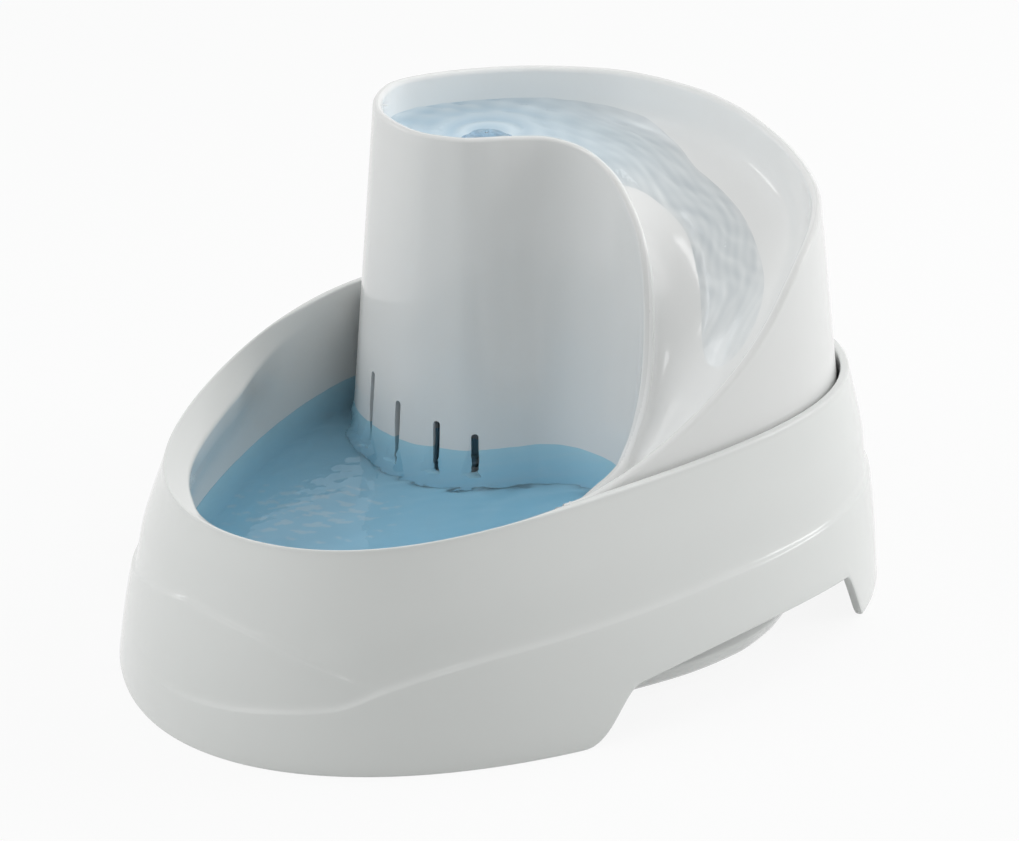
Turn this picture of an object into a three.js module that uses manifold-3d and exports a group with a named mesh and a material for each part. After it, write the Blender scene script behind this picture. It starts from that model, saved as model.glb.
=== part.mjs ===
// Pet water fountain: an oval drinking bowl on a flared skirt, with a lift-off tower.
// A pump in the covered rear of the bowl lifts water to a dish on top of the tower,
// and from there it runs round and down a banked chute, back into the open pool.
// Units are millimetres. +Z is up, the pool faces -Y, and the floor is at z = 0.

import * as THREE from 'three';
import Module from 'manifold-3d';
import { mergeVertices } from 'three/addons/utils/BufferGeometryUtils.js';

const wasm = await Module();
wasm.setup();

const turn = 2 * Math.PI;

// Outline of the skirt where it stands on the floor, as sums of harmonics
const floorOutline = { halfLength: 160, halfWidth: 129.4, taper: 9.84, square: 0.66, shift: 0, bulge: 0 };
// Outline of the bowl's rim, seen from above
const rimOutline = {
  halfLength: 143.4, halfWidth: 106.7, taper: 18.4, square: 6.78, shift: -6.8, bulge: 7.6,
};

// Bowl and skirt
const rimHeight = 80.5;
const rimTilt = 2.2;
const rimSag = 1.9;
const rimRound = 1.3;
const lipHeight = 75.5;
const bowlWall = 3;
const bowlFloor = 7;
const bowlDraft = 1.8;
const bowlFillet = 8.5;
const skirtWall = 3;
const skirtBelly = 3;
const webHeight = 61;
const webRound = 3;
const bowlCentreSetback = 20;
const undersideHeight = 4;
const footFlare = 8;
const rimCrownShare = 0.8;
// Width of the rim's lip: pairs of degrees from the front and millimetres
const lipWidths = [
  [-180, 3.6], [-118, 3.2], [-100, 4.2], [-88, 7], [-76, 10.4], [-62, 11], [-40, 9.8], [-27, 8],
  [-15, 4.6], [-5, 3], [40, 3], [71, 3.6], [180, 3.6],
];
// Lip widths between which the rim's top changes from flat to sloped
const flatLip = 3.7;
const slopedLip = 6.5;

// Openings at the foot of the skirt, one on each side
const archStart = -82;
const archEnd = 66.5;
const archMiddle = 5;
const archHalfSpan = 61;
const archHeight = 22.6;
const archSag = 4.5;
const archRiseFront = 27;
const archRiseRear = 7.5;
const archDepth = 11;

// Cable notch in the rear of the rim
const notchWidth = 9;
const notchDepth = 6.5;

// Tower casing
const towerHeight = 165;
const towerWall = 3;
const towerInset = 5;
const towerReference = 82;
const towerSeat = 75.5;
const towerSetback = 45;
const towerHalfWidth = 105;
const casingRound = 0.9;

// Ribs in the bowl that carry the tower
const ribWidth = 8;
const ribReach = 9.8;
const ribRoot = 1.1;
const ribAngles = [84, 122, 160, 200, 234].map(THREE.MathUtils.degToRad);

// Inlet slots in the front wall of the tower
const slotWidth = 2.8;
const slotBottom = 20;
const slotCutDepth = 16;
const slotTops = [65, 59, 54.6, 50.5];
const slotShares = [0.6555, 0.68, 0.704, 0.724];

// Dish and chute
const trayWall = 2.4;
const trayDrop = 1.4;
const chuteSag = 24;
const dishSagShare = 0.9;
const dishFloor = towerHeight - trayDrop - chuteSag * dishSagShare;

// Water lift: nozzle, riser and pump outlet share one upright axis
const liftX = -46;
const liftY = 66;
const riserBore = 4.4;
const riserRadius = 6;
const riserSocketWall = 1.6;
const riserSocketLength = 10;
const riserTaper = 2.5;
const sealThickness = 1.2;
const sealHeight = 3;
const sealDrop = 3.6;
const sealShelfHeight = 1.2;
const collarFlange = 11.5;
const collarFlangeHeight = 2.6;
const collarCap = 1.4;
const collarNeck = 9.2;
const collarLength = 12;
const collarChamfer = 0.8;

// Pump housing
const pumpWidth = 46;
const pumpHeight = 44;
const pumpLength = 34;
const pumpWall = 2.4;
const pumpRound = 5;
const pumpAxisHeight = 37;
const plateStep = 2;
const voluteRadius = 17.5;
const voluteLength = 13;
const chamberRadius = 13.5;
const chamberLength = 11;
const intakeRadius = 8.5;
const registerWall = 1.8;
const registerLength = 3;
const chamberSealInset = 1;
const chamberSealWidth = 1.4;
const chamberSealDepth = 1.3;
const spigotRadius = 6.4;
const spigotTop = 72;
const wellRadius = 7.4;
const wellLength = 26;
const wellWall = 1.5;

// Pump rotor and its bearings
const shaftRadius = 1.1;
const bushRadius = 2.6;
const bushLength = 3;
const bushSocketWall = 1.3;
const spiderArmWidth = 1.6;
const spiderArmCount = 3;
const magnetRadius = 6.4;
const magnetLength = 19;
const impellerRadius = 11.4;
const impellerHub = 3.4;
const impellerNose = 1;
const impellerPlate = 1.6;
const bladeHeight = 5;
const bladeThickness = 1.2;
const bladeCount = 6;

// Stator
const coreThickness = 15;
const coreSetback = 4;
const corePole = 9;
const coreLeg = 6;
const coreYoke = 6;
const poleTipGap = 10;
const poleDrop = 6;
const windingBuild = 2;
const windingLength = 22;

// Cord gland in the back plate
const glandRadius = 3.6;
const glandBore = 2;
const glandFlange = 5.2;
const glandFlangeLength = 2;
const glandBead = 0.7;
const glandBeadLength = 1.4;
const glandDrop = 7.3;

// Pump intake: grille and flow dial
const grilleRadius = 15.5;
const grilleDepth = 7;
const grilleWall = 1.8;
const grilleSlotLength = 3.6;
const grilleSlotWidth = 2;
const grilleSlotCount = 12;
const grilleSeatWall = 1.5;
const grilleSeatLength = 2;
const portRadius = 3.2;
const portCircle = 8;
const portCount = 3;
const dialRadius = 12.4;
const dialThickness = 2;
const dialPin = 2;
const dialPinLength = 3;
const dialGripHeight = 3;
const dialGripWidth = 3;
const dialGripLength = 8.6;

// Suction cups under the pump
const cupRadius = 7;
const cupHeight = 6;
const cupNeck = 2.8;
const cupLip = 1;
const cupHollow = 2;
const cupRecess = 1.8;
const cupInset = 8;

// Filter cartridge
const filterWidth = 46;
const filterDepth = 12;
const filterHeight = 80;
const filterX = -50;
const filterY = 39;
const filterWall = 2;
const filterBarWidth = 2;
const filterBarCount = 6;
const filterLidThickness = 1.5;
const foamDepth = 3.4;
const guideHeight = 22;
const guideWall = 2.4;

// Fits
const gap = 0.3;
const overrun = 6;

// Materials by finish
const finish = (color, roughness, metalness = 0) => (
  new THREE.MeshStandardMaterial({ color, roughness, metalness }));
const shellWhite = finish(0xe9ebec, 0.22);
const pumpBlack = finish(0x23262a, 0.45);
const rubberGrey = finish(0x3a3d40, 0.8);
const rubberClear = finish(0xc9ced0, 0.5);
const filterWhite = finish(0xdfe3e4, 0.4);
const foamBlue = finish(0x5f7f95, 0.95);
const carbonBlack = finish(0x1b1c1d, 0.9);
const impellerWhite = finish(0xd8dadb, 0.35);
const ferrite = finish(0x3d3a38, 0.5, 0.3);
const ceramic = finish(0xeeeeea, 0.25);
const laminate = finish(0x8b8f93, 0.4, 0.8);
const copper = finish(0xb06a3a, 0.35, 0.8);

// Geometry helpers

const lerp = THREE.MathUtils.lerp;
const smooth = (value, from, to) => THREE.MathUtils.smoothstep(value, from, to);

// A smooth curve through a table of [place, value], level at each peak and dip of the table
function smoothTable(table, place) {
  const found = table.findIndex(([at]) => at > place);
  const right = found < 0 ? table.length - 1 : Math.max(found, 1);
  const slope = (from, to) => (table[to][1] - table[from][1]) / (table[to][0] - table[from][0]);
  const slopeAt = (index) => {
    if (index === 0 || index === table.length - 1) {
      return 0;
    }
    const before = slope(index - 1, index);
    const after = slope(index, index + 1);
    return before * after > 0 ? 2 * before * after / (before + after) : 0;
  };
  const [fromPlace, fromValue] = table[right - 1];
  const [toPlace, toValue] = table[right];
  const span = toPlace - fromPlace;
  const share = (place - fromPlace) / span;
  const square = share * share;
  const cube = square * share;
  return (2 * cube - 3 * square + 1) * fromValue + (cube - 2 * square + share) * span * slopeAt(right - 1)
    + (3 * square - 2 * cube) * toValue + (cube - square) * span * slopeAt(right);
}

// A plan point of an outline at an angle measured from the front, turning towards +X
function outlinePoint(outline, angle) {
  return new THREE.Vector2(
    outline.halfWidth * Math.sin(angle) - outline.taper * Math.sin(2 * angle)
      + outline.square * Math.sin(3 * angle),
    outline.shift - outline.halfLength * Math.cos(angle) + outline.bulge * Math.cos(2 * angle),
  );
}

// A closed plan curve moved inwards by a distance, from its tangent at that angle
function insetPoint(curve, angle, inset) {
  const step = turn / 3600;
  const before = curve(angle - step);
  const after = curve(angle + step);
  const tangent = after.sub(before).normalize();
  const point = curve(angle);
  return new THREE.Vector2(point.x - tangent.y * inset, point.y + tangent.x * inset);
}

// Triangles of a grid of rings. Each ring closes on itself; with poles given the ends are fans,
// and without them the last ring joins the first.
function ringSolid(rings, poles = null) {
  const count = rings[0].length;
  const positions = rings.flat().flatMap((point) => [point.x, point.y, point.z]);
  const index = [];
  const last = poles ? rings.length - 1 : rings.length;
  for (let row = 0; row < last; row += 1) {
    for (let column = 0; column < count; column += 1) {
      const next = (column + 1) % count;
      const above = ((row + 1) % rings.length) * count;
      const a = row * count + column;
      const b = row * count + next;
      index.push(a, b, above + next, a, above + next, above + column);
    }
  }
  if (poles) {
    const start = positions.length / 3;
    poles.forEach((pole) => positions.push(pole.x, pole.y, pole.z));
    const top = (rings.length - 1) * count;
    for (let column = 0; column < count; column += 1) {
      const next = (column + 1) % count;
      index.push(start, next, column);
      index.push(start + 1, top + column, top + next);
    }
  }
  const geometry = new THREE.BufferGeometry();
  geometry.setAttribute('position', new THREE.Float32BufferAttribute(positions, 3));
  geometry.setIndex(index);
  return geometry;
}

function toSolid(geometry) {
  const plain = geometry.clone();
  plain.deleteAttribute('normal');
  plain.deleteAttribute('uv');
  const merged = mergeVertices(plain);
  return new wasm.Manifold(new wasm.Mesh({
    numProp: 3,
    vertProperties: new Float32Array(merged.attributes.position.array),
    triVerts: new Uint32Array(merged.index.array),
  }));
}

function toGeometry(solid) {
  const mesh = solid.getMesh();
  const geometry = new THREE.BufferGeometry();
  geometry.setAttribute('position', new THREE.Float32BufferAttribute(mesh.vertProperties, 3));
  geometry.setIndex(new THREE.Uint32BufferAttribute(mesh.triVerts, 1));
  return geometry;
}

const asSolid = (piece) => (piece instanceof THREE.BufferGeometry ? toSolid(piece) : piece);
const join = (...pieces) => pieces.map(asSolid).reduce((sum, piece) => sum.add(piece));
const cut = (piece, ...tools) => tools.map(asSolid).reduce((left, tool) => left.subtract(tool), asSolid(piece));

function box(width, depth, height, x, y, z) {
  return new THREE.BoxGeometry(width, depth, height).translate(x, y, z);
}

// A turned piece about +Z from pairs of radius and height
function turned(profile, sides = 22) {
  return new THREE.LatheGeometry(profile.map(([radius, height]) => new THREE.Vector2(radius, height)), sides)
    .rotateX(turn / 4);
}

// A solid disc or rod about +Z
const rod = (radius, from, to, sides = 22) => turned([[0, from], [radius, from], [radius, to], [0, to]], sides);

// A ring about +Z
function ring(inner, outer, from, to, sides = 22) {
  return turned([[inner, from], [outer, from], [outer, to], [inner, to], [inner, from]], sides);
}

// An upright piece on the lift's axis
const onLift = (geometry) => geometry.translate(liftX, liftY, 0);

// Turns a piece made about +Z so that its axis runs along +Y, at a height above the floor
const alongPump = (geometry, height = pumpAxisHeight) => (
  geometry.rotateX(-turn / 4).translate(liftX, 0, height));

// A rectangle with round corners, centred on the origin
function plateShape(width, height, corner) {
  const x = width / 2 - corner;
  const y = height / 2 - corner;
  const shape = new THREE.Shape();
  shape.absarc(x, y, corner, 0, turn / 4);
  shape.absarc(-x, y, corner, turn / 4, turn / 2);
  shape.absarc(-x, -y, corner, turn / 2, 3 * turn / 4);
  shape.absarc(x, -y, corner, 3 * turn / 4, turn);
  return shape;
}

// A shape extruded along +Z between two places
const extruded = (shape, from, to) => (
  new THREE.ExtrudeGeometry(shape, { depth: to - from, bevelEnabled: false, curveSegments: 5 }).translate(0, 0, from));

const group = new THREE.Group();

function add(name, geometry, material) {
  const mesh = new THREE.Mesh(geometry, material.clone());
  mesh.name = name;
  group.add(mesh);
}

// Bowl and skirt

const rimCurve = (angle) => outlinePoint(rimOutline, angle);
const rimTopAt = (angle) => rimHeight - rimTilt * Math.cos(angle) - rimSag * Math.cos(2 * angle);

const lipWidthAt = (angle) => smoothTable(lipWidths,
  THREE.MathUtils.radToDeg(THREE.MathUtils.euclideanModulo(angle + turn / 2, turn) - turn / 2));

// 1 where the rim's top runs flat up to its inner edge, 0 where it slopes down to a wide lip
const coveredShare = (angle) => 1 - smooth(lipWidthAt(angle), flatLip, slopedLip);

// The bowl's inner wall leans in by its draft from the lip down to the fillet
function bowlInsetAt(angle, height) {
  return lipWidthAt(angle) + bowlDraft * (lipHeight - height) / (lipHeight - bowlFloor);
}

// The skirt blends from the floor outline to the rim outline, with a slight belly
function skirtCurve(share) {
  const swell = skirtBelly * Math.sin(share * turn / 2);
  return (angle) => {
    const foot = outlinePoint(floorOutline, angle);
    const top = rimCurve(angle);
    const middle = foot.lerp(top, share);
    const centre = new THREE.Vector2(0, bowlCentreSetback);
    const outward = middle.clone().sub(centre).normalize();
    return middle.addScaledVector(outward, swell);
  };
}

function makeBowl() {
  const stations = 60;
  const at = (point, height) => new THREE.Vector3(point.x, point.y, height);
  const aroundRing = (place) => Array.from({ length: stations }, (_, index) => place(index / stations * turn));
  const rimInset = (inset, height) => aroundRing((angle) => (
    at(insetPoint(rimCurve, angle, inset(angle)), height(angle))));
  const skirtRing = (share, inset) => aroundRing((angle) => (
    at(insetPoint(skirtCurve(share), angle, inset), share * (rimTopAt(angle) - rimRound))));

  const filletShares = [0, 0.35, 0.7, 1];
  const filletRing = (share, radius, floor, offset) => rimInset(
    (angle) => bowlInsetAt(angle, bowlFloor) + offset + radius * (1 - Math.sin(share * turn / 4)),
    () => floor + radius * (1 - Math.cos(share * turn / 4)),
  );

  const rings = [];
  filletShares.forEach((share) => rings.push(filletRing(share, bowlFillet, bowlFloor, 0)));
  [0.35, 0.7].forEach((share) => {
    const height = lerp(bowlFloor + bowlFillet, lipHeight, share);
    rings.push(rimInset((angle) => bowlInsetAt(angle, height), () => height));
  });
  rings.push(rimInset(lipWidthAt, () => lipHeight));
  rings.push(rimInset(
    (angle) => lerp(2 * rimRound * rimCrownShare, lipWidthAt(angle) - gap, coveredShare(angle)),
    (angle) => rimTopAt(angle) - rimRound / 3,
  ));
  rings.push(rimInset(() => rimRound * rimCrownShare, rimTopAt));
  [1, 0.85, 0.65, 0.44, 0.22, 0].forEach((share) => rings.push(skirtRing(share, 0)));
  [0, 0.25, 0.5, 0.7].forEach((share) => rings.push(skirtRing(share, skirtWall)));
  rings.push(rimInset((angle) => (lipWidthAt(angle) - bowlWall) / 2, () => webHeight));
  [0.95, 0.55, 0.2].forEach((share) => {
    const height = lerp(bowlFloor + bowlFillet, webHeight - webRound, share);
    rings.push(rimInset((angle) => bowlInsetAt(angle, height) - bowlWall, () => height));
  });
  filletShares.slice().reverse().forEach((share) => {
    rings.push(filletRing(share, bowlFillet, undersideHeight, -bowlWall - footFlare));
  });

  const bowl = ringSolid(rings.reverse(), [
    new THREE.Vector3(0, bowlCentreSetback, undersideHeight),
    new THREE.Vector3(0, bowlCentreSetback, bowlFloor),
  ]);

  const ribs = ribAngles.map((angle) => {
    const root = lipWidthAt(angle) - ribRoot;
    const place = insetPoint(rimCurve, angle, (root + ribReach) / 2);
    const edge = insetPoint(rimCurve, angle, 0);
    const heading = Math.atan2(edge.y - place.y, edge.x - place.x);
    return new THREE.BoxGeometry(ribReach - root, ribWidth, towerSeat - bowlFloor)
      .rotateZ(heading)
      .translate(place.x, place.y, (towerSeat + bowlFloor) / 2 - gap);
  });

  const guides = [-1, 1].flatMap((side) => {
    const x = filterX + side * (filterWidth / 2 + gap + guideWall / 2);
    const lowZ = bowlFloor - gap;
    const height = guideHeight + gap;
    const cheek = box(guideWall, filterDepth + 2 * gap + 2 * guideWall, height, x, filterY, lowZ + height / 2);
    const lips = [-1, 1].map((face) => box(
      2 * guideWall, guideWall, height,
      x - side * guideWall / 2, filterY + face * (filterDepth / 2 + gap + guideWall / 2), lowZ + height / 2,
    ));
    return [cheek, ...lips];
  });

  const archSteps = 30;
  const arches = [1, -1].map((side) => {
    const section = (index) => {
      const share = (1 - Math.cos(index / archSteps * turn / 2)) / 2;
      const y = lerp(archStart, archEnd, share);
      const angle = Math.acos(-y / floorOutline.halfLength);
      const rise = smooth(y - archStart, 0, archRiseFront) * smooth(archEnd - y, 0, archRiseRear);
      const top = (archHeight - archSag * ((y - archMiddle) / archHalfSpan) ** 2) * rise + gap;
      const foot = (inset) => insetPoint(skirtCurve(0), angle, inset);
      const inner = foot(archDepth);
      const outer = foot(-overrun);
      const corner = (point, height) => new THREE.Vector3(side * point.x, point.y, height);
      return [corner(inner, -overrun), corner(outer, -overrun), corner(outer, top), corner(inner, top)];
    };
    const rows = Array.from({ length: archSteps + 1 }, (_, index) => section(index));
    const positions = rows.flat();
    const index = [];
    for (let row = 0; row < archSteps; row += 1) {
      for (let column = 0; column < 4; column += 1) {
        const a = row * 4 + column;
        const b = row * 4 + (column + 1) % 4;
        index.push([a, b, b + 4], [a, b + 4, a + 4]);
      }
    }
    const end = archSteps * 4;
    index.push([0, 2, 1], [0, 3, 2], [end, end + 1, end + 2], [end, end + 2, end + 3]);
    const geometry = new THREE.BufferGeometry();
    const numbers = positions.flatMap((point) => point.toArray());
    geometry.setAttribute('position', new THREE.Float32BufferAttribute(numbers, 3));
    geometry.setIndex(index.flatMap((face) => (side > 0 ? face.slice().reverse() : face)));
    return geometry;
  });

  const rear = rimCurve(turn / 2);
  const notch = box(notchWidth, 4 * overrun, notchDepth + overrun, rear.x, rear.y,
    rimTopAt(turn / 2) + (overrun - notchDepth) / 2);

  return toGeometry(cut(join(bowl, ...ribs, ...guides), ...arches, notch));
}

add('base_bowl', makeBowl(), shellWhite);

// Tower casing

// Plan of the front wall and of the chute's inner wall, from the left corner to the tip,
// as shares of the tower's half width about its centre
const frontWallShares = [
  [-0.962, 0.22], [-0.942, 0.13], [-0.903, 0.044], [-0.862, -0.021], [-0.82, -0.074],
  [-0.76, -0.132], [-0.686, -0.178], [-0.59, -0.221], [-0.505, -0.245], [-0.429, -0.25],
  [-0.343, -0.233], [-0.257, -0.2], [-0.19, -0.143], [-0.129, -0.067],
  [-0.062, 0.01], [0.019, 0.052], [0.114, 0.062], [0.214, 0.043], [0.305, 0.005],
  [0.39, -0.048], [0.443, -0.119], [0.443, -0.21], [0.452, -0.343], [0.49, -0.505],
  [0.552, -0.695], [0.629, -0.867], [0.695, -0.981], [0.748, -1.024],
];

// Height of the casing's top edge along the plan curve: pairs of the curve's share and the tower's
const topEdgeShares = [
  [0, 0.482], [0.026, 0.5], [0.057, 0.54], [0.09, 0.598], [0.12, 0.662], [0.145, 0.728], [0.168, 0.795],
  [0.19, 0.84], [0.215, 0.87], [0.25, 0.898], [0.28, 0.918], [0.31, 0.942], [0.345, 0.97], [0.38, 0.99],
  [0.43, 1], [0.73, 1], [0.76, 0.993], [0.775, 0.978], [0.792, 0.938], [0.81, 0.867], [0.824, 0.792],
  [0.836, 0.65], [0.8506, 0.47], [0.8576, 0.39], [0.866, 0.345], [0.88, 0.333], [0.903, 0.339],
  [0.929, 0.36], [0.96, 0.405], [0.985, 0.46], [1, 0.482],
];

// How far the casing leans in for each unit of height, along the plan curve
const leanShares = [
  [0, 0.12], [0.2, 0.12], [0.26, 0.11], [0.31, 0.075], [0.36, 0.04], [0.42, 0.035], [0.47, 0.07],
  [0.52, 0.1], [0.57, 0.085], [0.62, 0.074], [0.95, 0.072], [1, 0.12],
];

const casingCurve = (() => {
  const points = [];
  for (let degrees = 70; degrees <= 230; degrees += 10) {
    const place = insetPoint(rimCurve, THREE.MathUtils.degToRad(degrees), towerInset);
    points.push(new THREE.Vector3(place.x, place.y, 0));
  }
  frontWallShares.forEach(([across, along]) => {
    points.push(new THREE.Vector3(across * towerHalfWidth, towerSetback + along * towerHalfWidth, 0));
  });
  const curve = new THREE.CatmullRomCurve3(points, true, 'centripetal');
  curve.arcLengthDivisions = 1200;
  return curve;
})();

const topEdgeAt = (share) => (
  towerHeight * smoothTable(topEdgeShares, THREE.MathUtils.euclideanModulo(share, 1)));

// A point of the casing's outer face, moved inwards by a distance
function casingPoint(share, height, inset = 0) {
  const place = THREE.MathUtils.euclideanModulo(share, 1);
  const point = casingCurve.getPointAt(place);
  const tangent = casingCurve.getTangentAt(place);
  const distance = inset + smoothTable(leanShares, place) * (height - towerReference);
  return new THREE.Vector3(point.x - tangent.y * distance, point.y + tangent.x * distance, height);
}

const rimSamples = Array.from({ length: 720 }, (_, index) => rimCurve(index / 720 * turn));

// How far inside the rim's outline a plan point lies
function insetOf(point) {
  const distances = rimSamples.map((sample) => Math.hypot(sample.x - point.x, sample.y - point.y));
  const nearest = distances.indexOf(Math.min(...distances));
  return { inset: distances[nearest], angle: nearest / 720 * turn };
}

// The casing reaches the bowl's floor where it clears the bowl's wall, and rests on the ribs elsewhere
function bottomEdgeAt(share) {
  const lowest = bowlFloor + gap;
  const clears = (height) => {
    const { inset, angle } = insetOf(casingPoint(share, height));
    const foot = Math.max(0, bowlFloor + bowlFillet - height) / bowlFillet;
    const fillet = bowlFillet * (1 - Math.sqrt(Math.max(0, 1 - foot * foot)));
    return inset > bowlInsetAt(angle, height) + fillet + 2 * gap;
  };
  const steps = 40;
  for (let step = 0; step <= steps / 3; step += 1) {
    const height = lerp(lowest, towerSeat, step / steps);
    if (clears(height)) {
      return height;
    }
  }
  return towerSeat;
}

// Stations round the casing, and more where its edge drops into the chute
const casingSteps = 84;
const mouthSteps = 16;
const mouthStart = 0.806;
const mouthEnd = 0.872;

const casingShares = (() => {
  const shares = new Set();
  for (let step = 0; step < casingSteps; step += 1) {
    shares.add(step / casingSteps);
  }
  for (let step = 0; step < mouthSteps; step += 1) {
    shares.add(lerp(mouthStart, mouthEnd, step / mouthSteps));
  }
  return [...shares].sort((a, b) => a - b);
})();

function makeCasing() {
  const bottoms = casingShares.map(bottomEdgeAt);
  const rows = [];
  const sideShares = [0, 0.2, 0.45, 0.7, 1];
  const row = (share, inset, drop) => casingShares.map((place, index) => (
    casingPoint(place, lerp(bottoms[index], topEdgeAt(place) - drop, share), inset)));
  sideShares.forEach((share) => rows.push(row(share, 0, casingRound)));
  rows.push(row(1, casingRound, 0));
  rows.push(row(1, towerWall - casingRound, 0));
  sideShares.slice().reverse().forEach((share) => rows.push(row(share, towerWall, casingRound)));
  const casing = toSolid(ringSolid(rows));

  const slots = slotShares.map((share, index) => {
    const height = slotTops[index] - slotBottom;
    const round = slotWidth / 2;
    const outline = new THREE.Shape();
    outline.absarc(0, height - round, round, 0, turn / 2);
    outline.absarc(0, round, round, turn / 2, turn);
    const tangent = casingCurve.getTangentAt(share);
    const centre = casingPoint(share, slotBottom, towerWall / 2);
    return new THREE.ExtrudeGeometry(outline, { depth: slotCutDepth, bevelEnabled: false, curveSegments: 4 })
      .translate(0, 0, -slotCutDepth / 2)
      .rotateX(turn / 4)
      .rotateZ(Math.atan2(tangent.y, tangent.x))
      .translate(centre.x, centre.y, slotBottom);
  });

  const rear = casingPoint(0.37, towerSeat);
  const cableWay = box(notchWidth, 4 * overrun, notchDepth + overrun, 0, rear.y,
    towerSeat + (notchDepth - overrun) / 2);
  return toGeometry(cut(casing, ...slots, cableWay));
}

add('tower_casing', makeCasing(), shellWhite);

// Dish and chute: sections between the front or inner wall and the rear or outer wall.
// Each row gives the two ends as shares of the casing's curve, then the depth's share of the sag.
const trayShares = [
  [0.628, 0.6, 0.9], [0.645, 0.578, 0.9], [0.665, 0.555, 0.9], [0.687, 0.53, 0.9], [0.71, 0.495, 0.9],
  [0.735, 0.455, 0.9],
  [0.758, 0.415, 0.9], [0.775, 0.375, 0.92], [0.79, 0.335, 0.98], [0.803, 0.295, 1.05],
  [0.815, 0.255, 1.1], [0.825, 0.22, 1.1], [0.833, 0.19, 1.05], [0.841, 0.165, 1], [0.85, 0.14, 0.92],
  [0.86, 0.115, 0.8], [0.875, 0.092, 0.68], [0.895, 0.07, 0.56], [0.92, 0.05, 0.42], [0.945, 0.03, 0.26],
];

function makeTray() {
  const lengthSteps = 36;
  const widthSteps = 13;
  const edgeInset = towerWall + gap + trayWall;
  const table = (column) => (share) => {
    const place = share * (trayShares.length - 1);
    const low = Math.min(Math.floor(place), trayShares.length - 2);
    return lerp(trayShares[low][column], trayShares[low + 1][column], place - low);
  };
  const innerAt = table(0);
  const outerAt = table(1);
  const sagAt = table(2);

  const surface = (length, width) => {
    const inner = innerAt(length);
    const outer = outerAt(length);
    const start = casingPoint(inner, topEdgeAt(inner) - trayDrop, edgeInset);
    const end = casingPoint(outer, topEdgeAt(outer) - trayDrop, edgeInset);
    const across = (1 - Math.cos(width * turn / 2)) / 2;
    const flatness = lerp(5, 2.2, smooth(length, 0.3, 0.62));
    const depth = (1 - Math.abs(2 * across - 1) ** flatness) ** (1 / flatness);
    const point = start.lerp(end, across);
    point.z -= chuteSag * sagAt(length) * depth;
    return point;
  };

  const grid = [];
  for (let row = 0; row <= lengthSteps; row += 1) {
    grid.push(Array.from({ length: widthSteps + 1 }, (_, column) => (
      surface(row / lengthSteps, column / widthSteps))));
  }
  const normalAt = (row, column) => {
    const left = grid[row][Math.max(column - 1, 0)];
    const right = grid[row][Math.min(column + 1, widthSteps)];
    const back = grid[Math.max(row - 1, 0)][column];
    const ahead = grid[Math.min(row + 1, lengthSteps)][column];
    return ahead.clone().sub(back).cross(right.clone().sub(left)).normalize();
  };
  const under = grid.map((line, row) => line.map((point, column) => (
    point.clone().addScaledVector(normalAt(row, column), -trayWall))));
  const rings = grid.map((line, row) => [...under[row], ...line.slice().reverse()]);
  const count = rings[0].length;
  const positions = rings.flat().flatMap((point) => point.toArray());
  const index = [];
  for (let row = 0; row < lengthSteps; row += 1) {
    for (let column = 0; column < count; column += 1) {
      const a = row * count + column;
      const b = row * count + (column + 1) % count;
      index.push(a, b, b + count, a, b + count, a + count);
    }
  }
  const end = lengthSteps * count;
  for (let column = 0; column < widthSteps; column += 1) {
    const back = count - 1 - column;
    index.push(column, back, column + 1, column + 1, back, back - 1);
    index.push(end + column, end + column + 1, end + back, end + column + 1, end + back - 1, end + back);
  }
  const geometry = new THREE.BufferGeometry();
  geometry.setAttribute('position', new THREE.Float32BufferAttribute(positions, 3));
  geometry.setIndex(index);
  return geometry;
}

function trayWithHole() {
  const hole = onLift(rod(collarNeck + gap, dishFloor - collarLength, dishFloor + collarLength));
  return toGeometry(cut(makeTray(), hole));
}

add('dish_and_chute', trayWithHole(), shellWhite);

// Nozzle collar in the dish floor, the riser that stands in it, and the seal between them

const collarSeat = dishFloor + gap;
const collarTop = collarSeat + collarFlangeHeight;
const collarCeiling = collarTop - collarCap;
const sealRadius = riserRadius + gap + sealThickness;
const collarBore = sealRadius + gap;
const riserTop = collarCeiling - gap;
const sealTop = riserTop - sealDrop;
const sealBottom = sealTop - sealHeight;

add('nozzle_collar', onLift(turned([
  [collarBore, collarSeat - collarLength],
  [collarNeck, collarSeat - collarLength],
  [collarNeck, collarSeat],
  [collarFlange, collarSeat],
  [collarFlange, collarTop - collarChamfer],
  [collarFlange - collarChamfer, collarTop],
  [riserBore, collarTop],
  [riserBore, collarCeiling],
  [collarBore, collarCeiling],
  [collarBore, collarSeat - collarLength],
])), shellWhite);

const socketBore = spigotRadius + gap;
const socketRadius = socketBore + riserSocketWall;
const socketFloor = spigotTop + gap;

add('riser_tube', onLift(turned([
  [socketBore, spigotTop - riserSocketLength],
  [socketRadius, spigotTop - riserSocketLength],
  [socketRadius, socketFloor],
  [riserRadius, socketFloor + riserTaper],
  [riserRadius, sealBottom - gap - 2 * sealShelfHeight],
  [riserRadius + sealThickness, sealBottom - gap - sealShelfHeight],
  [riserRadius + sealThickness, sealBottom - gap],
  [riserRadius, sealBottom - gap],
  [riserRadius, riserTop],
  [riserBore, riserTop],
  [riserBore, socketFloor],
  [socketBore, socketFloor],
  [socketBore, spigotTop - riserSocketLength],
])), rubberClear);

add('riser_seal', onLift(ring(riserRadius + gap, sealRadius, sealBottom, sealTop)), rubberGrey);

// Pump housing: the body with its rotor well, open at the back

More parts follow.
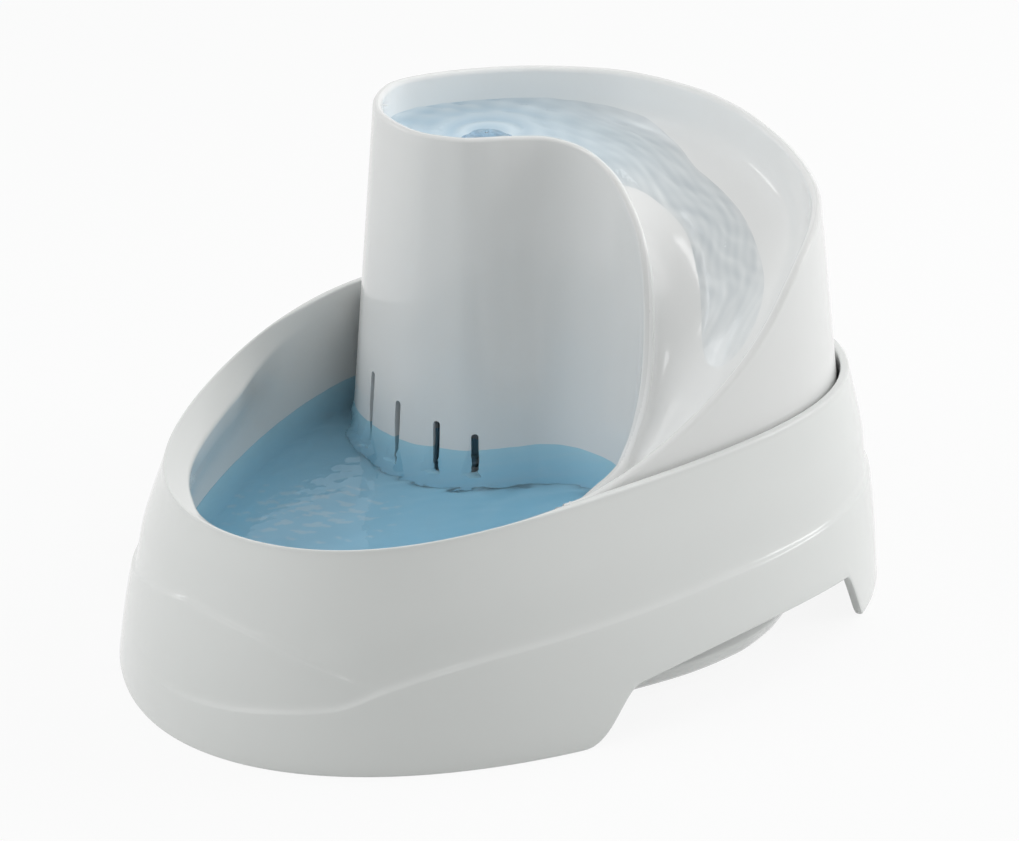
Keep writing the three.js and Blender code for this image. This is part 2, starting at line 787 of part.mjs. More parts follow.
const voluteFront = liftY - voluteLength / 2;
const voluteBack = liftY + voluteLength / 2;
const pumpFront = voluteBack + gap;
const pumpBack = pumpFront + pumpLength;
const wellEnd = pumpFront + wellLength;
const pumpBase = bowlFloor + gap + cupHeight;
const pumpMiddle = pumpBase + pumpHeight / 2;
const cavityWidth = pumpWidth - 2 * pumpWall;
const cavityHeight = pumpHeight - 2 * pumpWall;
const cavityRound = pumpRound - pumpWall;
const cupPlaces = [-1, 1].flatMap((side) => [pumpFront + cupInset, pumpBack - cupInset].map((y) => (
  [liftX + side * (pumpWidth / 2 - cupInset), y])));

function makePumpBody() {
  const block = alongPump(extruded(plateShape(pumpWidth, pumpHeight, pumpRound), pumpFront, pumpBack), pumpMiddle);
  const cavity = alongPump(
    extruded(plateShape(cavityWidth, cavityHeight, cavityRound), pumpFront + pumpWall, pumpBack + overrun), pumpMiddle);
  const well = alongPump(rod(wellRadius + wellWall, pumpFront + pumpWall / 2, wellEnd + wellWall));
  const register = alongPump(
    ring(voluteRadius + gap, voluteRadius + gap + registerWall, pumpFront - registerLength, pumpFront + pumpWall / 2));
  const bore = alongPump(rod(wellRadius, pumpFront - overrun, wellEnd));
  const socket = alongPump(
    ring(bushRadius + gap, bushRadius + gap + bushSocketWall, wellEnd - bushLength, wellEnd + wellWall / 2, 20));
  const outletWay = onLift(rod(spigotRadius + gap, pumpAxisHeight + wellRadius + wellWall, pumpBase + pumpHeight + overrun));
  const recesses = cupPlaces.map(([x, y]) => (
    rod(cupNeck + gap, pumpBase - overrun, pumpBase + cupRecess, 16).translate(x, y, 0)));
  const shell = cut(block, cavity);
  return toGeometry(join(cut(join(shell, well, cut(register, outletWay)), bore, ...recesses), socket));
}

add('pump_body', makePumpBody(), pumpBlack);

// The back plate steps into the body's mouth and carries the cord gland

const glandHeight = pumpBase + pumpHeight - glandDrop;
const plateFront = pumpBack + gap;
const plateBack = plateFront + pumpWall;

function makeBackPlate() {
  const face = alongPump(extruded(plateShape(pumpWidth, pumpHeight, pumpRound), plateFront, plateBack), pumpMiddle);
  const step = alongPump(extruded(
    plateShape(cavityWidth - 2 * gap, cavityHeight - 2 * gap, cavityRound),
    pumpBack - plateStep, plateFront + pumpWall / 2,
  ), pumpMiddle);
  const hole = alongPump(rod(glandRadius + gap, pumpBack - pumpWall - overrun, plateBack + overrun, 20), glandHeight);
  return toGeometry(cut(join(face, step), hole));
}

add('pump_back_plate', makeBackPlate(), pumpBlack);

const beadBack = pumpBack - plateStep - gap;

add('cord_gland', alongPump(turned([
  [glandBore, beadBack - glandBeadLength],
  [glandRadius, beadBack - glandBeadLength],
  [glandRadius + glandBead, beadBack],
  [glandRadius, beadBack],
  [glandRadius, plateBack + gap],
  [glandFlange, plateBack + gap],
  [glandFlange, plateBack + gap + glandFlangeLength],
  [glandBore, plateBack + gap + glandFlangeLength],
  [glandBore, beadBack - glandBeadLength],
], 20), glandHeight), rubberGrey);

// Stator: a laminated core whose two poles hold the rotor well, wound on the yoke below it

const poleRadius = wellRadius + wellWall + gap;
const coreFront = pumpFront + pumpWall + coreSetback;
const coreBack = coreFront + coreThickness;
const coreBottom = pumpBase + pumpWall + windingBuild + 2 * gap;
const coreTop = pumpAxisHeight + corePole;
const yokeTop = coreBottom + coreYoke;

function makeCore() {
  const depth = coreBack - coreFront;
  const middle = (coreFront + coreBack) / 2;
  const block = box(2 * (poleRadius + corePole), depth, coreTop - coreBottom, liftX, middle, (coreTop + coreBottom) / 2);
  const poleBottom = pumpAxisHeight - poleDrop;
  const windowWidth = 2 * (poleRadius + corePole - coreLeg);
  const window = box(windowWidth, depth + overrun, poleBottom - yokeTop, liftX, middle, (poleBottom + yokeTop) / 2);
  const mouth = box(poleTipGap, depth + overrun, corePole + overrun, liftX, middle, coreTop + (overrun - corePole) / 2);
  const round = alongPump(rod(poleRadius, coreFront - overrun, coreBack + overrun));
  return toGeometry(cut(block, window, mouth, round));
}

add('stator_core', makeCore(), laminate);

function makeWinding() {
  const outline = plateShape(
    coreYoke + 2 * (gap + windingBuild), coreThickness + 2 * (gap + windingBuild), windingBuild);
  const yokeSpace = box(coreYoke + 2 * gap, coreThickness + 2 * gap, windingLength + 2 * overrun, 0, 0, 0);
  return toGeometry(cut(extruded(outline, -windingLength / 2, windingLength / 2), yokeSpace))
    .rotateY(turn / 4)
    .translate(liftX, (coreFront + coreBack) / 2, coreBottom + coreYoke / 2);
}

add('stator_winding', makeWinding(), copper);

// Volute: the impeller's chamber, its outlet spigot and the spider that holds the front bush

function makeVolute() {
  const drum = alongPump(rod(voluteRadius, voluteFront, voluteBack));
  const spigot = onLift(rod(spigotRadius, pumpAxisHeight, spigotTop));
  const seatOuter = grilleRadius - grilleWall - gap;
  const grilleSeat = alongPump(ring(
    seatOuter - grilleSeatWall, seatOuter, voluteFront - grilleSeatLength, voluteFront + grilleSeatWall));
  const chamber = alongPump(rod(chamberRadius, voluteBack - chamberLength, voluteBack + overrun));
  const intake = alongPump(rod(intakeRadius, voluteFront - overrun, voluteBack));
  const sealInner = chamberRadius + chamberSealInset;
  const groove = alongPump(ring(
    sealInner - gap, sealInner + chamberSealWidth + gap, voluteBack - chamberSealDepth - gap, voluteBack + overrun));
  const outlet = onLift(rod(riserBore, pumpAxisHeight, spigotTop + overrun));
  const bossRadius = bushRadius + gap + bushSocketWall;
  const boss = alongPump(rod(bossRadius, voluteFront, voluteFront + bushLength, 20));
  const armLength = intakeRadius + bushSocketWall;
  const arms = Array.from({ length: spiderArmCount }, (_, index) => alongPump(
    box(armLength, spiderArmWidth, voluteLength - chamberLength, armLength / 2, 0,
      voluteFront + (voluteLength - chamberLength) / 2).rotateZ((index + 0.25) * turn / spiderArmCount)));
  const bushHole = alongPump(rod(bushRadius + gap, voluteFront - overrun, voluteBack, 20));
  return toGeometry(cut(
    join(cut(join(drum, spigot, grilleSeat), chamber, intake, groove, outlet), boss, ...arms), bushHole));
}

add('pump_volute', makeVolute(), pumpBlack);

add('chamber_seal', alongPump(ring(
  chamberRadius + chamberSealInset, chamberRadius + chamberSealInset + chamberSealWidth,
  voluteBack - chamberSealDepth, voluteBack)), rubberGrey);

// Intake grille: slots round its side, and ports in its face that the flow dial opens and closes

const grilleBack = voluteFront - gap;
const grilleFront = grilleBack - grilleDepth;
const portHoles = (from, to) => Array.from({ length: portCount }, (_, index) => {
  const angle = (index + 0.25) * turn / portCount;
  return alongPump(
    rod(portRadius, from, to, 16).translate(portCircle * Math.cos(angle), portCircle * Math.sin(angle), 0));
});

function makeGrille() {
  const cup = alongPump(rod(grilleRadius, grilleFront, grilleBack));
  const inside = alongPump(rod(grilleRadius - grilleWall, grilleFront + grilleWall, grilleBack + overrun));
  const slotMiddle = grilleFront + grilleWall + grilleSlotLength / 2;
  const slots = Array.from({ length: grilleSlotCount }, (_, index) => alongPump(
    box(2 * grilleWall + gap, grilleSlotWidth, grilleSlotLength, grilleRadius - grilleWall / 2, 0, slotMiddle)
      .rotateZ(index * turn / grilleSlotCount)));
  const pinHole = alongPump(rod(dialPin + gap, grilleFront - overrun, grilleBack, 16));
  const ports = portHoles(grilleFront - overrun, grilleFront + grilleWall + gap);
  return toGeometry(cut(cup, inside, ...slots, pinHole, ...ports));
}

add('intake_grille', makeGrille(), pumpBlack);

const dialBack = grilleFront - gap;
const dialFront = dialBack - dialThickness;

function makeDial() {
  const disc = alongPump(rod(dialRadius, dialFront, dialBack));
  const pin = alongPump(rod(dialPin, dialBack - dialThickness / 2, dialBack + dialPinLength, 16));
  const grip = box(
    dialGripWidth, dialGripHeight + dialThickness / 2, dialGripLength,
    liftX, dialFront + dialThickness / 4 - dialGripHeight / 2, pumpAxisHeight,
  );
  return toGeometry(join(cut(disc, ...portHoles(dialFront - overrun, dialBack + overrun)), pin, grip));
}

add('flow_dial', makeDial(), impellerWhite);

// Rotor: impeller with its stem through the magnet, on a fixed shaft between two bushes

const impellerBack = voluteBack - gap;
const bladeBack = impellerBack - impellerPlate;
const magnetFront = impellerBack + gap;
const magnetBack = magnetFront + magnetLength;

function makeImpeller() {
  const plate = alongPump(rod(impellerRadius, bladeBack, impellerBack));
  const stem = alongPump(rod(impellerHub, bladeBack - bladeHeight - impellerNose, magnetBack, 20));
  const bladeLength = impellerRadius - bladeThickness / 2;
  const blades = Array.from({ length: bladeCount }, (_, index) => alongPump(
    box(bladeLength, bladeThickness, bladeHeight + impellerPlate / 2, bladeLength / 2, 0,
      bladeBack + impellerPlate / 4 - bladeHeight / 2).rotateZ(index * turn / bladeCount)));
  const bore = alongPump(rod(shaftRadius + gap, voluteFront, magnetBack + overrun, 16));
  return toGeometry(cut(join(plate, stem, ...blades), bore));
}

add('impeller', makeImpeller(), impellerWhite);
add('impeller_magnet', alongPump(ring(impellerHub + gap, magnetRadius, magnetFront, magnetBack, 24)), ferrite);
add('impeller_shaft', alongPump(rod(shaftRadius, voluteFront + gap, wellEnd - gap, 12)), ceramic);

const makeBush = (from) => alongPump(ring(shaftRadius + gap, bushRadius, from, from + bushLength, 16));

add('shaft_bush_front', makeBush(voluteFront), rubberGrey);
add('shaft_bush_rear', makeBush(wellEnd - gap - bushLength), rubberGrey);

// Suction cups

cupPlaces.forEach(([x, y], index) => {
  const foot = bowlFloor + gap;
  const shoulder = pumpBase - gap;
  add(`suction_cup_${index + 1}`, turned([
    [0, foot + cupHollow],
    [cupRadius - cupLip, foot],
    [cupRadius, foot],
    [cupNeck + cupLip, foot + cupHollow + cupLip],
    [cupNeck + cupLip, shoulder],
    [cupNeck, shoulder],
    [cupNeck, pumpBase + cupRecess - gap],
    [0, pumpBase + cupRecess - gap],
  ], 16).translate(x, y, 0), rubberClear);
});

// Filter cartridge: a framed tray with barred back and lid, holding foam and carbon layers

const filterBase = bowlFloor + gap;
const filterMiddle = filterBase + filterHeight / 2;
const filterFront = filterY - filterDepth / 2;
const pocketWidth = filterWidth - 2 * filterWall;
const pocketHeight = filterHeight - 2 * filterWall;
const filterBox = (width, height, from, to, x = filterX) => (
  box(width, to - from, height, x, (from + to) / 2, filterMiddle));

// Upright openings between the bars of a panel of a given width
function barOpenings(width, height, from, to) {
  const pitch = (width + filterBarWidth) / (filterBarCount + 1);
  return Array.from({ length: filterBarCount + 1 }, (_, index) => filterBox(
    pitch - filterBarWidth, height, from, to, filterX + (index - filterBarCount / 2) * pitch));
}

const pocketBack = filterFront + filterDepth - filterWall;
const lidBack = filterFront + filterLidThickness;
const foamFront = lidBack + gap;
const carbonFront = foamFront + foamDepth + gap;

add('filter_frame', toGeometry(cut(
  filterBox(filterWidth, filterHeight, filterFront, filterFront + filterDepth),
  filterBox(pocketWidth, pocketHeight, filterFront - overrun, pocketBack),
  ...barOpenings(pocketWidth - 2 * filterWall, pocketHeight - 2 * filterWall, pocketBack - overrun, pocketBack + overrun),
)), filterWhite);

add('filter_front_grille', toGeometry(cut(
  filterBox(pocketWidth - 2 * gap, pocketHeight - 2 * gap, filterFront, lidBack),
  ...barOpenings(pocketWidth - 2 * filterWall, pocketHeight - 2 * filterWall, filterFront - overrun, lidBack + overrun),
)), filterWhite);

add('filter_foam', filterBox(pocketWidth - 2 * gap, pocketHeight - 2 * gap, foamFront, foamFront + foamDepth), foamBlue);
add('filter_carbon',
  filterBox(pocketWidth - 2 * gap, pocketHeight - 2 * gap, carbonFront, pocketBack - gap), carbonBlack);

export default group;
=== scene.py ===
import math

import bmesh
import bpy
import numpy as np
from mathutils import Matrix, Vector


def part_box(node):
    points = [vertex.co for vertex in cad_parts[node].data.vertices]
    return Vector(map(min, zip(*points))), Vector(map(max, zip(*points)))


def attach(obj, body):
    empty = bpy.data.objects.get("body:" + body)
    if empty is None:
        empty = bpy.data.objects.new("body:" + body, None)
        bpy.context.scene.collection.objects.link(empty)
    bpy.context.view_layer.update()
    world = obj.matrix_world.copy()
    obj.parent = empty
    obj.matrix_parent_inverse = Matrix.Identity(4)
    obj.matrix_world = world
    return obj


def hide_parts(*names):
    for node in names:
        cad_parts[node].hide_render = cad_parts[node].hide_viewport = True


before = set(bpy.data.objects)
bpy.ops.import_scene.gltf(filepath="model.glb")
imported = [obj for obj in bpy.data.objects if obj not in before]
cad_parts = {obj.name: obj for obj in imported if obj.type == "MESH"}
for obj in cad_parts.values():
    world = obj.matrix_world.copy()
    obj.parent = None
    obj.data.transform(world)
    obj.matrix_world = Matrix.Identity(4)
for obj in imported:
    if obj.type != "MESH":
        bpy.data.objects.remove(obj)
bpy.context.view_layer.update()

scene = bpy.context.scene
mm = 0.001
turn = 2 * np.pi

# Camera, aimed from the photograph's side

view = dict(azimuth=35.616, elevation=23.025, target=(-5.117, 23.03, 60.898), distance=1429.93, lens=135.15)


def placeCamera():
    azimuth, elevation = math.radians(view["azimuth"]), math.radians(view["elevation"])
    target = Vector(view["target"]) * mm
    back = Vector((math.sin(azimuth) * math.cos(elevation), -math.cos(azimuth) * math.cos(elevation),
                   math.sin(elevation)))
    data = bpy.data.cameras.new("photoCamera")
    data.lens, data.sensor_width = view["lens"], 36
    data.clip_start, data.clip_end = 0.05, 50
    camera = bpy.data.objects.new("photoCamera", data)
    camera.location = target + back * view["distance"] * mm
    camera.rotation_euler = (-back).to_track_quat("-Z", "Y").to_euler()
    scene.collection.objects.link(camera)
    scene.camera = camera


placeCamera()
scene.view_settings.view_transform = "Standard"
print("camera placed")

# Curves in millimetres, the same as the frame's: +Z up, pool towards -Y, floor at z = 0

floorOutline = dict(halfLength=160, halfWidth=129.4, taper=9.84, square=0.66, shift=0, bulge=0)
rimOutline = dict(halfLength=143.4, halfWidth=106.7, taper=18.4, square=6.78, shift=-6.8, bulge=7.6)
bowl = dict(rimHeight=80.5, rimTilt=2.2, rimSag=1.9, rimRound=1.3, lipHeight=75, wall=3,
            floor=7, draft=1.8, wallInset=3.6, wallTop=48, fillet=8.5, belly=3, web=61, skirtTop=54,
            centre=20, underside=4,
            footFlare=[(0, 8), (75, 9.5), (90, 12.5), (97, 12), (104, 8.5), (113, 2), (125, 0), (180, 0)],
            archStart=-82, archEnd=66.5, archHeight=22.6, archSag=4.5, archMiddle=5, archFront=27, archRear=7.5,
            notchWidth=9, notchDepth=6.5, footRound=1.1)
tower = dict(height=165, wall=3, inset=5, reference=82, seat=75.5, setback=45, halfWidth=105, lip=1.5, trayLip=2.2,
             trayWall=2.2, footRound=1.0, footLift=0.9)
lift = dict(x=-46, y=66, hole=9.5)


def smoothstep(value, low, high):
    # 3 t^2 - 2 t^3 between low and high
    share = np.clip((value - low) / (high - low), 0, 1)
    return share * share * (3 - 2 * share)


def hermite(low, high, lowSlope, highSlope, share, span):
    # Cubic between two values with given slopes
    square, cube = share ** 2, share ** 3
    return ((2 * cube - 3 * square + 1) * low + (cube - 2 * square + share) * span * lowSlope
            + (3 * square - 2 * cube) * high + (cube - square) * span * highSlope)


def smoothTable(table, place):
    # Monotone cubic through pairs of place and value, level at every peak, dip and end
    at, value = np.array(table, float).T
    slope = np.diff(value) / np.diff(at)
    before, after = slope[:-1], slope[1:]
    same = before * after > 0
    inner = np.where(same, 2 * before * after / np.where(same, before + after, 1), 0)
    slopes = np.concatenate([[0], inner, [0]])
    place = np.clip(place, at[0], at[-1])
    right = np.clip(np.searchsorted(at, place, side="right"), 1, len(at) - 1)
    left = right - 1
    span = at[right] - at[left]
    return hermite(value[left], value[right], slopes[left], slopes[right], (place - at[left]) / span, span)


def outlinePoint(outline, angle):
    # x = w sin a - t sin 2a + q sin 3a, y = shift - l cos a + b cos 2a, with a from the front towards +X
    return np.stack([
        outline["halfWidth"] * np.sin(angle) - outline["taper"] * np.sin(2 * angle)
        + outline["square"] * np.sin(3 * angle),
        outline["shift"] - outline["halfLength"] * np.cos(angle) + outline["bulge"] * np.cos(2 * angle)], -1)


def insetPoint(curve, angle, inset):
    # The curve's point moved square to its tangent, inwards
    step = turn / 3600
    tangent = curve(angle + step) - curve(angle - step)
    tangent /= np.linalg.norm(tangent, axis=-1, keepdims=True)
    return curve(angle) + np.stack([-tangent[..., 1], tangent[..., 0]], -1) * np.asarray(inset, float)[..., None]


def raised(plan, height):
    # Plan points with their heights
    return np.concatenate([plan, np.broadcast_to(height, plan.shape[:-1])[..., None]], -1)


def rimCurve(angle):
    return outlinePoint(rimOutline, angle)


def rimRing(angle, inset, height):
    # Points round the rim's outline, moved inwards and raised
    return raised(insetPoint(rimCurve, angle, inset), height)


def rimTopAt(angle):
    return bowl["rimHeight"] - bowl["rimTilt"] * np.cos(angle) - bowl["rimSag"] * np.cos(2 * angle)


# Width of the rim's lip: pairs of degrees from the front and millimetres
lipWidths = [(-180, 3.6), (-118, 3.2), (-100, 4.2), (-88, 7), (-76, 10.4), (-62, 11), (-40, 9.8), (-27, 8),
             (-15, 4.6), (-5, 3), (40, 3), (71, 3.6), (180, 3.6)]
# 1 where the rim's top is flat beside the tower, 0 where it slopes into the pool
flatTops = [(-180, 1), (-112, 1), (-95, 0), (55, 0), (75, 1), (180, 1)]


def signedDegrees(angle):
    # -180 to 180, from the front
    return np.degrees(np.mod(angle + np.pi, turn) - np.pi)


def lipWidthAt(angle):
    return smoothTable(lipWidths, signedDegrees(angle))


def bowlInsetAt(angle, height):
    # The wall runs back out under a wide lip, then leans in by its draft to the floor
    width = lipWidthAt(angle)
    under = 1 - smoothstep(height, bowl["wallTop"], bowl["lipHeight"])
    wall = width + (np.minimum(width, bowl["wallInset"]) - width) * under
    return wall + bowl["draft"] * (bowl["lipHeight"] - height) / (bowl["lipHeight"] - bowl["floor"])


def filletRing(angle, share, level, outward):
    # Quarter circle from the floor, at share 0, up to the wall, at share 1: inset r (1 - sin), height r (1 - cos)
    sweep, radius = share * np.pi / 2, bowl["fillet"]
    inset = bowlInsetAt(angle, bowl["floor"]) - outward + radius * (1 - np.sin(sweep))
    return rimRing(angle, inset, level + radius * (1 - np.cos(sweep)))


def skirtPlan(angle, share):
    # Floor outline blended into the rim outline, with a belly of sin(pi s)
    middle = outlinePoint(floorOutline, angle) * (1 - share)[..., None] + rimCurve(angle) * share[..., None]
    outward = middle - np.array([0, bowl["centre"]])
    outward /= np.linalg.norm(outward, axis=-1, keepdims=True)
    return middle + outward * (bowl["belly"] * np.sin(share * np.pi))[..., None]


def skirtPoint(angle, height, inset=0.0):
    # The skirt's point at a height, moved inwards
    share = height / (rimTopAt(angle) - bowl["rimRound"])
    return raised(insetPoint(lambda a: skirtPlan(a, share), angle, inset), height)


class ClosedCurve:
    # Closed centripetal Catmull-Rom curve through plan points, read by its share of arc length
    def __init__(self, points, divisions=1200):
        self.points = points
        self.places = np.linspace(0, 1, divisions + 1)
        steps = np.linalg.norm(np.diff(self.at(self.places), axis=0), axis=1)
        self.lengths = np.concatenate([[0], np.cumsum(steps)])

    def at(self, place):
        count = len(self.points)
        along = np.mod(place, 1) * count
        first = np.floor(along).astype(int)
        share = (along - first)[..., None]
        before, start, end, after = [self.points[(first + shift) % count] for shift in (-1, 0, 1, 2)]
        lead, middle, trail = [np.sqrt(np.linalg.norm(b - a, axis=-1, keepdims=True))
                               for a, b in ((before, start), (start, end), (end, after))]
        leave = (start - before) / lead - (end - before) / (lead + middle) + (end - start) / middle
        arrive = (end - start) / middle - (after - start) / (middle + trail) + (after - end) / trail
        return hermite(start, end, leave, arrive, share, middle)

    def place(self, share):
        return np.interp(np.mod(share, 1) * self.lengths[-1], self.lengths, self.places)

    def point(self, share):
        return self.at(self.place(share))

    def tangent(self, share):
        place = self.place(share)
        step = self.at(place + 1e-4) - self.at(place - 1e-4)
        return step / np.linalg.norm(step, axis=-1, keepdims=True)


# Plan of the front wall and the chute's inner wall, as shares of the tower's half width about its centre
frontWallShares = np.array([
    [-0.962, 0.22], [-0.942, 0.13], [-0.903, 0.044], [-0.862, -0.021], [-0.82, -0.074],
    [-0.76, -0.132], [-0.686, -0.178], [-0.59, -0.221], [-0.505, -0.245], [-0.429, -0.25],
    [-0.343, -0.233], [-0.257, -0.2], [-0.19, -0.143], [-0.129, -0.067],
    [-0.062, 0.01], [0.019, 0.052], [0.114, 0.062], [0.214, 0.043], [0.305, 0.005],
    [0.39, -0.048], [0.443, -0.119], [0.443, -0.21], [0.452, -0.343], [0.49, -0.505],
    [0.552, -0.695], [0.629, -0.867], [0.695, -0.981], [0.748, -1.024]])
# The casing's top edge and lean along its plan curve, as pairs of share and value
topEdgeShares = [
    [0, 0.482], [0.026, 0.5], [0.057, 0.54], [0.09, 0.598], [0.12, 0.662], [0.145, 0.728], [0.168, 0.795],
    [0.19, 0.84], [0.215, 0.87], [0.25, 0.898], [0.28, 0.918], [0.31, 0.942], [0.345, 0.97], [0.38, 0.99],
    [0.43, 1], [0.73, 1], [0.76, 0.993], [0.775, 0.978], [0.792, 0.938], [0.81, 0.867], [0.824, 0.792],
    [0.836, 0.65], [0.8506, 0.47], [0.8576, 0.39], [0.866, 0.345], [0.88, 0.333], [0.903, 0.339],
    [0.929, 0.36], [0.96, 0.405], [0.985, 0.46], [1, 0.482]]
leanShares = [
    [0, 0.12], [0.2, 0.12], [0.26, 0.11], [0.31, 0.075], [0.36, 0.04], [0.42, 0.035], [0.47, 0.07],
    [0.52, 0.1], [0.57, 0.085], [0.62, 0.074], [0.95, 0.072], [1, 0.12]]
# Sections of the dish and chute: the two ends as shares of the casing's curve, and the depth's share of the sag
trayRows = [
    [0.6140, 0.6140, 0], [0.6145, 0.6135, 0.62], [0.616, 0.612, 0.78], [0.62, 0.608, 0.87], [0.628, 0.6, 0.9],
    [0.645, 0.578, 0.9], [0.665, 0.555, 0.9], [0.687, 0.53, 0.9], [0.71, 0.495, 0.9], [0.735, 0.455, 0.9],
    [0.758, 0.415, 0.9], [0.775, 0.375, 0.92], [0.79, 0.335, 0.98], [0.803, 0.295, 1.05],
    [0.815, 0.255, 1.1], [0.825, 0.22, 1.1], [0.833, 0.19, 1.05], [0.841, 0.165, 1], [0.85, 0.14, 0.92],
    [0.86, 0.115, 0.8], [0.875, 0.092, 0.68], [0.895, 0.07, 0.56], [0.92, 0.05, 0.42], [0.945, 0.03, 0.26],
    [0.962, 0.016, 0.15], [0.975, 0.004, 0.08], [0.983, -0.005, 0.04], [0.9865, -0.0115, 0.02]]
trayPlaces = np.concatenate([[0, 0.006, 0.014, 0.026], np.linspace(0.045, 1, 20), [1.045, 1.08, 1.105, 1.12]])
trayEnd = trayPlaces[-1]

rearAngles = np.radians(np.arange(70, 231, 10))
casingCurve = ClosedCurve(np.concatenate([
    insetPoint(rimCurve, rearAngles, np.full(len(rearAngles), tower["inset"])),
    np.array([0, tower["setback"]]) + frontWallShares * tower["halfWidth"]]))


def topEdgeAt(share):
    return tower["height"] * smoothTable(topEdgeShares, np.mod(share, 1))


def casingPoint(share, height, inset=0.0):
    # The plan curve's point at a share of its length, moved in by the inset and by the lean over the reference height
    share, height, inset = np.broadcast_arrays(*[np.asarray(value, float) for value in (share, height, inset)])
    tangent = casingCurve.tangent(share)
    distance = inset + smoothTable(leanShares, np.mod(share, 1)) * (height - tower["reference"])
    return raised(casingCurve.point(share) + np.stack([-tangent[..., 1], tangent[..., 0]], -1) * distance[..., None],
                  height)


# Mesh building

def surfaceObject(name, points, faces, creaseAngle=None, values=None):
    # One mesh from points in millimetres and faces of three or four corners, turned outwards by its signed volume.
    # Values are kept as attributes of its points
    faces = [np.asarray(face, np.int64) for face in faces if len(face)]
    volume = 0.0
    for face in faces:
        for second, third in ((1, 2), (2, 3))[:face.shape[1] - 2]:
            a, b, c = points[face[:, 0]], points[face[:, second]], points[face[:, third]]
            volume += np.einsum("ij,ij->", a, np.cross(b, c)) / 6
    if volume < 0:
        faces = [face[:, ::-1] for face in faces]
    mesh = bpy.data.meshes.new(name)
    loops = np.concatenate([face.ravel() for face in faces])
    sizes = np.concatenate([np.full(len(face), face.shape[1]) for face in faces])
    mesh.vertices.add(len(points))
    mesh.vertices.foreach_set("co", (points * mm).ravel())
    mesh.loops.add(len(loops))
    mesh.loops.foreach_set("vertex_index", loops.astype(np.int32))
    mesh.polygons.add(len(sizes))
    mesh.polygons.foreach_set("loop_start", (np.cumsum(sizes) - sizes).astype(np.int32))
    mesh.polygons.foreach_set("loop_total", sizes.astype(np.int32))
    mesh.update(calc_edges=True)
    mesh.validate()
    mesh.polygons.foreach_set("use_smooth", np.ones(len(mesh.polygons), bool))
    if creaseAngle:
        mesh.set_sharp_from_angle(angle=math.radians(creaseAngle))
    for key, numbers in (values or {}).items():
        mesh.attributes.new(key, "FLOAT", "POINT").data.foreach_set("value", np.ravel(numbers).astype(np.float32))
    piece = bpy.data.objects.new(name, mesh)
    scene.collection.objects.link(piece)
    return piece


def gridFaces(rows, columns, closeRows=False, closeColumns=False, start=0):
    # Quads between neighbouring rows and columns of a grid of points
    row = np.arange(rows if closeRows else rows - 1)[:, None]
    column = np.arange(columns if closeColumns else columns - 1)[None, :]
    nextRow, nextColumn = (row + 1) % rows, (column + 1) % columns
    corner = [row * columns + column, row * columns + nextColumn, nextRow * columns + nextColumn,
              nextRow * columns + column]
    return start + np.stack([c + np.zeros_like(row * column) for c in corner], -1).reshape(-1, 4)


def fanFaces(ring, pole):
    # Triangles from a closed ring of points to one pole
    return np.stack([ring, np.roll(ring, -1), np.full(len(ring), pole)], -1)


def weld(piece, distance=0.002):
    # Joins points that lie on one another
    body = bmesh.new()
    body.from_mesh(piece.data)
    bmesh.ops.remove_doubles(body, verts=body.verts, dist=distance * mm)
    bmesh.ops.dissolve_degenerate(body, edges=body.edges, dist=1e-7)
    body.to_mesh(piece.data)
    body.free()


def carve(piece, tools, creaseAngle=35):
    # Cuts tools out of a piece and keeps the result as its mesh
    for tool in tools:
        cut = piece.modifiers.new("cut", "BOOLEAN")
        cut.operation, cut.solver, cut.object = "DIFFERENCE", "EXACT", tool
    bpy.context.view_layer.update()
    result = bpy.data.meshes.new_from_object(piece.evaluated_get(bpy.context.evaluated_depsgraph_get()))
    piece.modifiers.clear()
    piece.data = result
    result.polygons.foreach_set("use_smooth", np.ones(len(result.polygons), bool))
    result.set_sharp_from_angle(angle=math.radians(creaseAngle))
    for tool in tools:
        bpy.data.objects.remove(tool)


def evenPlaces(density, low, high, count, closed=False):
    # Places from low to high, closer together where the density is higher
    fine = np.linspace(low, high, 4001)
    weight = density(fine)
    total = np.concatenate([[0], np.cumsum((weight[1:] + weight[:-1]) / 2)])
    return np.interp(np.linspace(0, total[-1], count + 1)[:-1] if closed else np.linspace(0, total[-1], count),
                     total, fine)


# Bowl with its skirt

# Two creases run round the skirt: pairs of degrees from the front and height
creases = dict(
    right=[(-180, 30), (-150, 21), (-120, 16.6), (-30, 16.6), (-8.5, 17.3), (-2, 18), (5, 19.2), (13, 21.1),
           (23.5, 23.9), (32, 30.2), (37.5, 33.5), (43, 36), (50.5, 38.3), (60, 39.9), (70, 41.2), (80, 42.3),
           (88.5, 43), (96, 42.9), (111.5, 42.4), (126, 42), (140, 41), (160, 38), (180, 30)],
    left=[(-180, 24), (-120, 24), (-75, 26), (-60, 30), (-41.5, 37), (-36, 40.5), (-28, 44.6), (-22.5, 46.4),
          (-17, 48), (-11, 49.4), (-1.5, 48.1), (9, 45.1), (18, 39.7), (23.5, 36), (28.5, 32), (40, 24)],
    rightEnds=(-22, 6, 138, 168), leftEnds=(-130, -80, 18, 36),
    depth=1.3, edge=0.18, ramp=0.75, fall=20)


